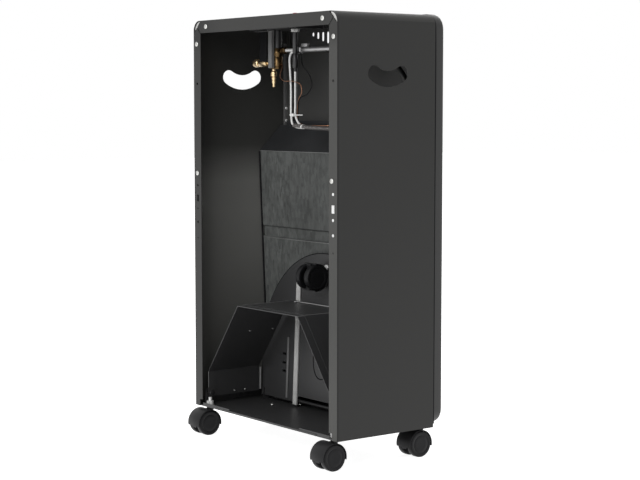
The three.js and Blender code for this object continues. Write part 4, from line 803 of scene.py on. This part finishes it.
def leadRoute(x, sideways, start):
    return start + [
        (x, igniterY, igniterLow - 29),
        (x, igniterY, (igniterLow + leadLow) / 2 - 14),
        (x - 0.5, igniterY, leadLow + 14),
        (x - 9, igniterY - 2 + sideways, leadLow - 3),
        (towardsPilot(0.32), igniterY - 12 + sideways, leadLow - 7),
        (towardsPilot(0.62), (igniterY + pilotY) / 2 + 8 + sideways, leadLow - 9),
        (towardsPilot(0.85), pilotY + 24 + sideways, leadLow - 9),
        (pilotX - sideways, pilotY + 6 + sideways, leadLow - 14),
        (pilotX - sideways - 2, pilotY + 1, leadLow - 30),
        (pilotX - sideways - 2, pilotY, pilotTop + 6),
        (pilotX - sideways - 2, pilotY, pilotTop),
    ]


loop = igniterLow + 32.4
leads = {
    "ignition_lead": leadRoute(
        igniterX, -3, moved((igniterX, igniterY, igniterLow), (0, 0, -0.3), (0, 0, -8.6))),
    "sensor_lead": leadRoute(
        igniterX + 12.5, 3.2,
        moved((igniterX, igniterY, loop), (4.9, 0, 0), (10.6, 0, 0), (16, 0, -9), (15, 0, -31))),
}
for name, route in leads.items():
    bm = bmesh.new()
    tubeInto(bm, route, leadRadius, sides=18, steps=240)
    pieceFrom(bm, name + "_sleeved", "white_sleeve", smoothTo=60, replaced=name)

low, bend, x = valveLow, valveY + 13, valveX - 8.8
capillary = moved((x, valveY, low), (0, 0, 8), (-4, 0, 8), (-9, 4, 2))
capillary += moved((x, bend, low), (-13, -2, -12), (-26, 0, -21), (-52, 0, -22), (-76, 0, -29),
                   (-79, 0, -41), (-68, -2, -52), (-52, -11, -63), (-47, -14, -80))
capillary += moved((x, bend, leadLow), (-48, -15, 4), (-62, -17, -2))
capillary += [
    (towardsPilot(0.4), igniterY - 15, leadLow - 3),
    (towardsPilot(0.7), (igniterY + pilotY) / 2, leadLow - 2),
    (towardsPilot(0.865), pilotY + 21, leadLow - 1),
]
capillary += moved((pilotX, pilotY, leadLow), (9, 2, -6), (8, -6, -16), (7, -6, -34))
capillary += moved((pilotX, pilotY, pilotTop), (7, -5, 8), (7, -5, 0))
bm = bmesh.new()
tubeInto(bm, capillary, 0.62, sides=14, steps=320)
pieceFrom(bm, "thermocouple_drawn", "copper", smoothTo=60, replaced="thermocouple")

tieLook = {"wide": 2.6, "clear": 1.7, "thick": 0.9, "z": 524}


def stadium(x0, x1, y, radius, turn=10):
    # the outline round two centres that lie side by side along X
    line = []
    for centre, start in ((x1, -90), (x0, 90)):
        for k in range(turn + 1):
            a = math.radians(start + 180 * k / turn)
            line.append((centre + radius * math.cos(a), y + radius * math.sin(a)))
    return line


def tieInto(bm, x0, x1, y, z):
    # a flat strap round both leads in the level plane
    clear, half = tieLook["clear"], tieLook["wide"] / 2
    outer, inner = (stadium(x0, x1, y, radius) for radius in (clear + tieLook["thick"], clear))
    rings = [[bm.verts.new(at(px, py, z + dz)) for px, py in path]
             for path, dz in ((outer, -half), (outer, half), (inner, half), (inner, -half))]
    skinInto(bm, rings, closed=True)


bm = bmesh.new()
tieInto(bm, igniterX, igniterX + 12.5, igniterY, tieLook["z"])
blockInto(bm, (-2.4, -2, -2.4), (2.4, 2.4, 2.4), upright((igniterX + 1, igniterY + 3.2, tieLook["z"])), 0.4)
blockInto(bm, (-26, -0.5, -0.7), (0, 0.5, 0.7), upright((igniterX, igniterY + 3.6, tieLook["z"])), 0.3)
pieceFrom(bm, "lead_tie_upper", "white_sleeve", finish="white_nut")


def sleeveInto(bm, points, wide, tall, sides=20, steps=60):
    # a flattened sleeve round a level bundle
    path = [at(*p) for p in smoothPath(points, steps)]
    rings = []
    for i, here in enumerate(path):
        ahead = aheadAt(path, i)
        side = ahead.cross(Vector((0, 0, 1))).normalized()
        rise = side.cross(ahead)
        rings.append([bm.verts.new(here + side * mm(wide) * math.cos(a) + rise * mm(tall) * math.sin(a))
                      for a in anglesRound(sides)])
    skinInto(bm, rings)


underTie = (igniterX, igniterY, leadLow)
bundle = moved(underTie, (3, -0.9, -3), (-7, -2.9, -4.2), (-20, -6, -5.6))
bundle += [
    (towardsPilot(0.32), igniterY - 12, leadLow - 7),
    (towardsPilot(0.62), (igniterY + pilotY) / 2 + 8, leadLow - 9),
    (towardsPilot(0.82), pilotY + 28, leadLow - 9),
]
# painted shade: the bundle's sleeve takes a dark copy of the white sleeve
bm = bmesh.new()
sleeveInto(bm, bundle, 6.6, 3.5)
pieceFrom(bm, "lead_bundle_sleeve", "white_sleeve", smoothTo=60, finish="dark_sleeve")
bm = bmesh.new()
sleeveInto(bm, moved(underTie, (-15, -4.8, -5), (-17.5, -5.4, -5.3)), 7.1, 4.0, steps=2)
pieceFrom(bm, "lead_tie_lower", "white_sleeve", finish="white_nut")
earthWire = moved((igniterX, pipeY, pipeZ), (-4, 3, -6), (-10, 4, -26), (-30, 4, -44), (-37, 4, -61),
                  (-24, 4, -76))
earthWire += moved((igniterX, igniterY, pipeZ), (-7, -4, -84), (-4, -3, -100)) + moved(underTie, (-4, -3, 4))
bm = bmesh.new()
tubeInto(bm, earthWire, 0.9, steps=90)
pieceFrom(bm, "earth_wire", "black_plastic", smoothTo=60, finish="bracket_black")
print("leads laid")

# wire guard, burner fittings, pins and hinge rod
gridLook = {"y": -224.0, "half": 163.75, "tall": 113.16, "middle": 338.0, "wires": 11, "posts": 4,
            "wire": 1.5}
gridY, gridHalf, gridTall, middle = gridLook["y"], gridLook["half"], gridLook["tall"], gridLook["middle"]


def roundedFrameInto(bm, half, tall, corner, y, wire, sides=14, turn=8):
    path = []
    for cx, cz, start in ((half - corner, tall - corner, 0), (corner - half, tall - corner, 90),
                          (corner - half, corner - tall, 180), (half - corner, corner - tall, 270)):
        for k in range(turn + 1):
            a = math.radians(start + 90 * k / turn)
            path.append((Vector((cx + corner * math.cos(a), 0, cz + corner * math.sin(a))), a))
    rings = []
    for spot, a in path:
        out = Vector((math.cos(a), 0, math.sin(a)))
        ring = []
        for b in anglesRound(sides):
            place = spot + out * (wire * math.cos(b)) + Vector((0, wire * math.sin(b), 0))
            ring.append(bm.verts.new(at(place.x, y + place.y, middle + place.z)))
        rings.append(ring)
    skinInto(bm, rings, closed=True)


bm = bmesh.new()
wire = gridLook["wire"]
roundedFrameInto(bm, gridHalf - wire, gridTall - wire, 9, gridY, wire)
for i in range(1, gridLook["wires"] + 1):
    z = middle - gridTall + 2 * gridTall * i / (gridLook["wires"] + 1)
    barInto(bm, [(-gridHalf + 1, gridY - wire, z), (gridHalf - 1, gridY - wire, z)], wire)
for i in range(1, gridLook["posts"] + 1):
    x = -gridHalf + 2 * gridHalf * i / (gridLook["posts"] + 1)
    barInto(bm, [(x, gridY + 0.4, middle - gridTall + 1), (x, gridY + 0.4, middle + gridTall - 1)], wire)
pieceFrom(bm, "wire_guard_welded", "chrome_wire", smoothTo=50, replaced="wire_guard")

pinLook = {"head": 182.0, "tail": 194.5, "y": -17.0, "z": 24.0}
head, tail = pinLook["head"], pinLook["tail"]
pin = moved((0, head), (0, -1.5), (3.8, -1.5), (4.8, -1), (5, -0.4), (5, 0), (3, 0))
pin += moved((0, tail), (3, 0), (5, 0), (5, 0.4), (4.8, 1), (3.8, 1.5), (0, 1.5))
for side, name in ((1, "guard_pin_right"), (-1, "guard_pin_left")):
    turnedPiece(name, name + "_headed", pin, 32, xDirection((0, pinLook["y"], pinLook["z"]), side),
                finish="black_plastic")
turnedPiece("platform_hinge_rod", "platform_hinge_rod_turned", rimmed(3, 0, 354, 0.5), 28,
            xDirection((-177, *hinge[1:])), finish="black_plastic")
axle = [(0, -16.2), (2.2, -16.2), (2.5, -15.9), (2.5, 15.9), (2.2, 16.2), (0, 16.2)]
for name, place in castorPlaces.items():
    turnedPiece(f"{name}_axle", f"{name}_axle_turned", axle, 24, place @ onAxle @ rotation(90, "Y"))

bm = bmesh.new()
seat = 436.1
blockInto(bm, (-13, -22, seat), (13, 5, seat + 2), upright((pilotX, pilotY, 0)), 0.4)
blockInto(bm, (-9, -8, seat + 1), (9, 4, pilotTop - 0.3), upright((pilotX, pilotY, 0)), 0.8)
nose = [(0, 0), (4, 0), (4, 14), (3.4, 15), (3.4, 21), (3, 22), (0, 22)]
latheInto(bm, nose, 24, upright((pilotX, pilotY - 6, seat + 8)) @ rotation(90, "X"))
pieceFrom(bm, "pilot_burner_cast", "zinc", replaced="pilot_burner")
print("burner fittings dressed")


# screws, rivets and clips
def panHead(matrix, name, body, radius=3.6, height=1.8, finish="zinc"):
    # domed head with a crossed recess, its seat on the local XY plane
    bm = bmesh.new()
    rim = [(0, -0.3), (radius, -0.3), (radius, height * 0.35), (radius * 0.9, height * 0.72),
           (radius * 0.7, height * 0.93), (radius * 0.4, height), (0, height * 1.02)]
    latheInto(bm, rim, 24, matrix)
    made = pieceFrom(bm, name, "zinc", body, smoothTo=50, finish=finish)
    cross = bmesh.new()
    for turn in (0, 90):
        size = Matrix.Diagonal((mm(radius * 1.15), mm(radius * 0.26), mm(height * 0.9), 1))
        onTop = matrix @ Matrix.Translation((0, 0, mm(height)))
        bmesh.ops.create_cube(cross, size=1.0, matrix=onTop @ rotation(turn + 20, "Z") @ size)
    mesh = bpy.data.meshes.new(name + "Recess")
    cross.to_mesh(mesh)
    cross.free()
    cutter = bpy.data.objects.new(name + "Recess", mesh)
    bpy.context.scene.collection.objects.link(cutter)
    sink = made.modifiers.new("recess", "BOOLEAN")
    sink.object = cutter
    sink.solver = "EXACT"
    sink.use_self = True
    bpy.context.view_layer.update()
    sunk = bpy.data.meshes.new_from_object(made.evaluated_get(bpy.context.evaluated_depsgraph_get()))
    made.modifiers.clear()
    made.data = sunk
    bpy.data.objects.remove(cutter)
    return made


faceRear = rotation(-90, "X")  # local Z looks out of the open rear
flangeScrews = [(-171, 679), (-200, 649), (170, 679), (200, 649), (199.5, 420), (-195.5, 419.5)]
for i, (x, z) in enumerate(flangeScrews):
    panHead(upright((x, 0, z)) @ faceRear, f"flange_screw_{i + 1}", "cabinet", radius=4.2)
edgeScrews = [(207.4, -201.5, 536), (207.4, -201.5, 513)]
for i, place in enumerate(edgeScrews):
    panHead(upright(place) @ rotation(-90, "Y"), f"edge_screw_{i + 1}", "cabinet", radius=2.6, height=1.5,
            finish="lead_nut")
panScrews = [(117.7, -104.3), (86, -144), (-117.7, -104.3), (-86, -144)]
for i, (x, y) in enumerate(panScrews):
    panHead(upright((x, y, 2)), f"pan_screw_{i + 1}", "cabinet", radius=3.4, height=1.6)
tabLook = {"holes": (398.5, 357, 332.5), "x": -199.0, "slot": 374.5}
bm = bmesh.new()
for z in tabLook["holes"]:
    latheInto(bm, rimmed(2.5, -2, 0.6, 0.3), 20, upright((tabLook["x"], 0, z)) @ faceRear)
blockInto(bm, (-3.4, -2, -6.6), (3.4, 0.5, 6.6), upright((tabLook["x"], 0, tabLook["slot"])), 0.25)
pieceFrom(bm, "flange_clips", "zinc", finish="lead_nut")
print("screws set:", len(flangeScrews) + len(edgeScrews) + len(panScrews))


# painted light strips, painted highlight and shadow lines, ribs and rivets
# painted light: lighter strips on the inner walls by the front edge, where light falls
stripLook = {"inner": 207.4, "outer": 208.6, "front": -203.2, "rear": -196.0, "low": 40.0, "high": 655.0}
onSheet = upright((0, 0, 0))
bm = bmesh.new()
mirroredInto(bm, (stripLook["inner"], stripLook["front"], stripLook["low"]),
             (stripLook["outer"], stripLook["rear"], stripLook["high"]), onSheet, 0.2)
pieceFrom(bm, "front_edge_strips", "chassis_paint", finish="strip_grey")
shieldLook = {"half": 204.0, "top": 458.5, "rear": -141, "lean": 0.042}


def shieldAt(x, z, off):
    return (x, shieldLook["rear"] - shieldLook["lean"] * (shieldLook["top"] - z) + off, z)


# painted shadow: black bars along the shield's side edges, where there is a dark gap
shieldShadowLook = {"x": 206.4, "low": 36.0, "high": 457.0, "radius": 1.5}
bm = bmesh.new()
for side in (1, -1):
    ends = [shieldAt(side * shieldShadowLook["x"], shieldShadowLook[key], shieldShadowLook["radius"]) for key in ("low", "high")]
    barInto(bm, ends, shieldShadowLook["radius"], sides=16)
pieceFrom(bm, "shield_seals", "black_plastic", finish="bracket_black")
gapLook = {"half": 208.4, "top": 688.4, "corner": 18.4, "y": (-204.8, -206.2), "low": 6.0, "radius": 0.9}
rim = [(gapLook["half"], gapLook["low"]), (gapLook["half"], gapLook["top"] / 2)]
for side, start in ((1, 0), (-1, 90)):
    x, z = side * (gapLook["half"] - gapLook["corner"]), gapLook["top"] - gapLook["corner"]
    rim += [(x + gapLook["corner"] * math.cos(a), z + gapLook["corner"] * math.sin(a))
            for a in (math.radians(start + 15 * i) for i in range(7))]
rim += [(-gapLook["half"], gapLook["top"] / 2), (-gapLook["half"], gapLook["low"])]
bm = bmesh.new()
for y in gapLook["y"]:
    tubeInto(bm, [(x, y, z) for x, z in rim], gapLook["radius"], steps=260)
pieceFrom(bm, "front_gap_seal", "black_plastic", finish="bracket_black")
# painted highlights: thin light bars along the shield's band and top edge
paintedHighlightLines = [{"z": 298.6, "off": 0.1, "radius": 0.55}, {"z": 457.9, "off": 0.3, "radius": 0.6}]
bm = bmesh.new()
for line in paintedHighlightLines:
    ends = [shieldAt(x, line["z"], line["off"]) for x in (-shieldLook["half"], shieldLook["half"])]
    barInto(bm, ends, line["radius"])
pieceFrom(bm, "shield_bright_edges", "galvanised_sheet", finish="edge_soft")

# painted shadow: a black line round the platform's arch, where a dark gap shows
archLook = {"half": 180.6, "centre": 89.0, "depth": 4.0, "radius": 0.85, "foot": 14.0}
rim = [(archLook["half"], archLook["foot"]), (archLook["half"], archLook["centre"] / 2)]
rim += [(archLook["half"] * math.cos(a), archLook["centre"] + archLook["half"] * math.sin(a))
        for a in (math.radians(180 * i / 48) for i in range(49))]
rim += [(-archLook["half"], archLook["centre"] / 2), (-archLook["half"], archLook["foot"])]


def onPlatform(x, depth, z):
    spot = platformPlace @ (Vector((x, depth, z)) / 1000) * 1000
    return (spot.x, spot.y - rearToFrame, spot.z - sheetToFloor)


bm = bmesh.new()
tubeInto(bm, [onPlatform(x, archLook["depth"], z) for x, z in rim], archLook["radius"], steps=200)
pieceFrom(bm, "platform_edge_bead", "chassis_paint", finish="bracket_black")
ribLook = {"x": 99.5, "half": 2.6, "front": 4.6, "rear": 7.0, "low": 2, "high": 112}
bm = bmesh.new()
mirroredInto(bm, (ribLook["x"] - ribLook["half"], ribLook["front"], ribLook["low"]),
             (ribLook["x"] + ribLook["half"], ribLook["rear"], ribLook["high"]), platformPlace, 0.8)
pieceFrom(bm, "platform_ribs", "chassis_paint", finish="strip_grey")
bail = [(22, 98), (21.5, 76), (18.5, 62), (8, 50), (-8, 50), (-18.5, 62), (-21.5, 76), (-22, 98)]
bm = bmesh.new()
tubeInto(bm, [onPlatform(x, ribLook["rear"], z) for x, z in bail], 0.9, steps=60)
pieceFrom(bm, "platform_bail", "chassis_paint", finish="bracket_black")

guardLook = {
    "front": -121.0, "top": 192.0, "stripInner": 176.4, "stripOuter": 178.4, "stripLow": 20.5,
    "stripHigh": 61.5, "stripThick": 2.2, "ledgeHalf": 64, "ledge": 193.4, "studX": 62,
}
guardFront, ledgeHalf = guardLook["front"], guardLook["ledgeHalf"]
# painted highlights on the guard: a light rod along the ledge, a light stud, and light strips on the tabs'
# inner edges
bm = bmesh.new()
barInto(bm, [(x, guardFront + 2.4, guardLook["ledge"]) for x in (ledgeHalf, -ledgeHalf)], 0.9)
stud = upright((guardLook["studX"], guardFront + 5, guardLook["top"] + 0.2))
latheInto(bm, rimmed(2.6, 0, 2.2, 0.6), 20, stud)
mirroredInto(bm, (guardLook["stripInner"], guardFront, guardLook["stripLow"]),
             (guardLook["stripOuter"], guardFront + guardLook["stripThick"], guardLook["stripHigh"]),
             onSheet, 0.3)
pieceFrom(bm, "guard_bright_edges", "chassis_paint", "guard", finish="edge_bright")
# painted highlights: light bars along the guard's folds
foldHighlights = [
    {"from": (89.1, -25.5, 191.3), "to": (89.1, guardFront, 191.3), "radius": 0.8},
    {"from": (88.6, -10.2, 190.3), "to": (88.6, -24, 190.3), "radius": 0.8},
    {"from": (183.0, -10.4, 34), "to": (183.0, -10.4, 63), "radius": 0.7},
    {"from": (183.0, -24.6, 34), "to": (183.0, -24.6, 63), "radius": 0.7},
]
bm = bmesh.new()
for side in (1, -1):
    for line in foldHighlights:
        barInto(bm, [(side * x, y, z) for x, y, z in (line["from"], line["to"])], line["radius"])
pieceFrom(bm, "guard_fold_lines", "chassis_paint", "guard", finish="strip_grey")
rivetLook = {"x": 127.2, "z": 139.2, "rows": (-62.6, -112.6), "slope": math.atan2(95, 128)}
footLook = {"x": 182.9, "z": 22.8, "rows": (-65.8, -89.6)}
for side, hand in ((1, "right"), (-1, "left")):
    square = Matrix.Rotation(side * math.pi / 2, 4, "Y")
    across = Matrix.Rotation(side * (rivetLook["slope"] - math.pi), 4, "Y") @ square
    for i, y in enumerate(rivetLook["rows"]):
        panHead(upright((side * rivetLook["x"], y, rivetLook["z"])) @ across, f"guard_rivet_{hand}_{i + 1}",
                "guard", radius=2.4, height=1.2, finish="strip_grey")
    inward = Matrix.Rotation(-side * math.pi / 2, 4, "Y")
    for i, y in enumerate(footLook["rows"]):
        panHead(upright((side * footLook["x"], y, footLook["z"])) @ inward, f"foot_rivet_{hand}_{i + 1}",
                "guard", radius=1.7, height=1.0)

# a rolled lip along the pan's rear edge, its grey lighter than the pan's paint as painted highlight
lipLook = {"half": 152.0, "low": 0.3, "high": 3.6, "rear": -0.4, "front": -1.6}
bm = bmesh.new()
blockInto(bm, (-lipLook["half"], lipLook["front"], lipLook["low"]),
          (lipLook["half"], lipLook["rear"], lipLook["high"]), onSheet, 0.3)
pieceFrom(bm, "pan_rear_lip", "chassis_paint", finish="lip_grey")
bm = bmesh.new()
latheInto(bm, rimmed(5.2, 0, 3.6, 0.6), 6, platformSpot(-7, 4.8, 246) @ rotation(-90, "X"))
pieceFrom(bm, "platform_plate_nut", "zinc", finish="lead_nut")
print("trims laid")


# floor, light and camera
stageLook = {"floorSize": 14.0, "floorColour": (0.86, 0.86, 0.86, 1), "lift": 0.86, "ambient": 0.5}


def paleFloor():
    bm = bmesh.new()
    bmesh.ops.create_grid(bm, x_segments=2, y_segments=2, size=stageLook["floorSize"])
    mesh = bpy.data.meshes.new("studioFloor")
    bm.to_mesh(mesh)
    bm.free()
    floor = bpy.data.objects.new("studioFloor", mesh)
    bpy.context.scene.collection.objects.link(floor)
    mat = bpy.data.materials.new("studioFloor")
    mat.use_nodes = True
    tree = mat.node_tree
    tree.nodes.clear()
    out = tree.nodes.new("ShaderNodeOutputMaterial")
    base = node(tree, "BsdfDiffuse", Color=stageLook["floorColour"])
    glow = node(tree, "Emission", Color=(1, 1, 1, 1), Strength=stageLook["lift"])
    both = node(tree, "AddShader", i0=base.outputs[0], i1=glow.outputs[0])
    pick = node(tree, "MixShader", Fac=seenRay(tree), i1=base.outputs[0], i2=both.outputs[0])
    tree.links.new(pick.outputs[0], out.inputs["Surface"])
    mesh.materials.append(mat)


def seenRay(tree):
    # 1 for what the camera sees directly, in a reflection or through glass
    path = node(tree, "LightPath")
    kinds = ("Camera", "Glossy", "Transmission")
    seen, mirrored, through = (path.outputs[f"Is {kind} Ray"] for kind in kinds)
    return reckoned(tree, "MAXIMUM", reckoned(tree, "MAXIMUM", seen, mirrored), through)


def paleWorld():
    world = bpy.data.worlds.new("studio")
    bpy.context.scene.world = world
    world.use_nodes = True
    tree = world.node_tree
    tree.nodes.clear()
    out = tree.nodes.new("ShaderNodeOutputWorld")
    lit = node(tree, "Background", Color=(1, 1, 1, 1), Strength=stageLook["ambient"])
    seen = node(tree, "Background", Color=(1, 1, 1, 1), Strength=1.0)
    pick = node(tree, "MixShader", Fac=seenRay(tree), i1=lit.outputs[0], i2=seen.outputs[0])
    tree.links.new(pick.outputs[0], out.inputs["Surface"])


def softbox(name, place, aim, size, power):
    data = bpy.data.lights.new(name, "AREA")
    data.shape = "RECTANGLE"
    data.size, data.size_y = size
    data.energy = power
    lamp = bpy.data.objects.new(name, data)
    bpy.context.scene.collection.objects.link(lamp)
    lamp.location = place
    lamp.rotation_euler = (Vector(aim) - Vector(place)).to_track_quat("-Z", "Y").to_euler()


def photoCamera():
    # the eye was worked out from the corners of the cabinet in the photograph
    look = {"eye": (-2244.67, 1566.62, 535.58), "heading": 53.019, "dip": 4.655, "lens": 91.012}
    data = bpy.data.cameras.new("photoCamera")
    camera = bpy.data.objects.new("photoCamera", data)
    bpy.context.scene.collection.objects.link(camera)
    heading, dip = math.radians(look["heading"]), math.radians(look["dip"])
    level = math.cos(dip)
    ahead = Vector((math.sin(heading) * level, -math.cos(heading) * level, -math.sin(dip)))
    camera.location = at(*look["eye"])
    camera.rotation_mode = "QUATERNION"
    camera.rotation_quaternion = ahead.to_track_quat("-Z", "Y")
    data.sensor_width = 36.0
    data.lens = look["lens"]
    data.clip_start, data.clip_end = 0.1, 60
    bpy.context.scene.camera = camera


paleFloor()
paleWorld()
softbox("keySoftbox", (-1.0, 3.0, 2.0), (0, 0, 0.4), (1.6, 1.6), 46)
softbox("frontSoftbox", (1.2, -3.0, 1.8), (0, 0, 0.4), (1.8, 1.8), 40)
photoCamera()
bpy.context.scene.view_settings.view_transform = "Standard"
print("stage set")

low, high = cadBox
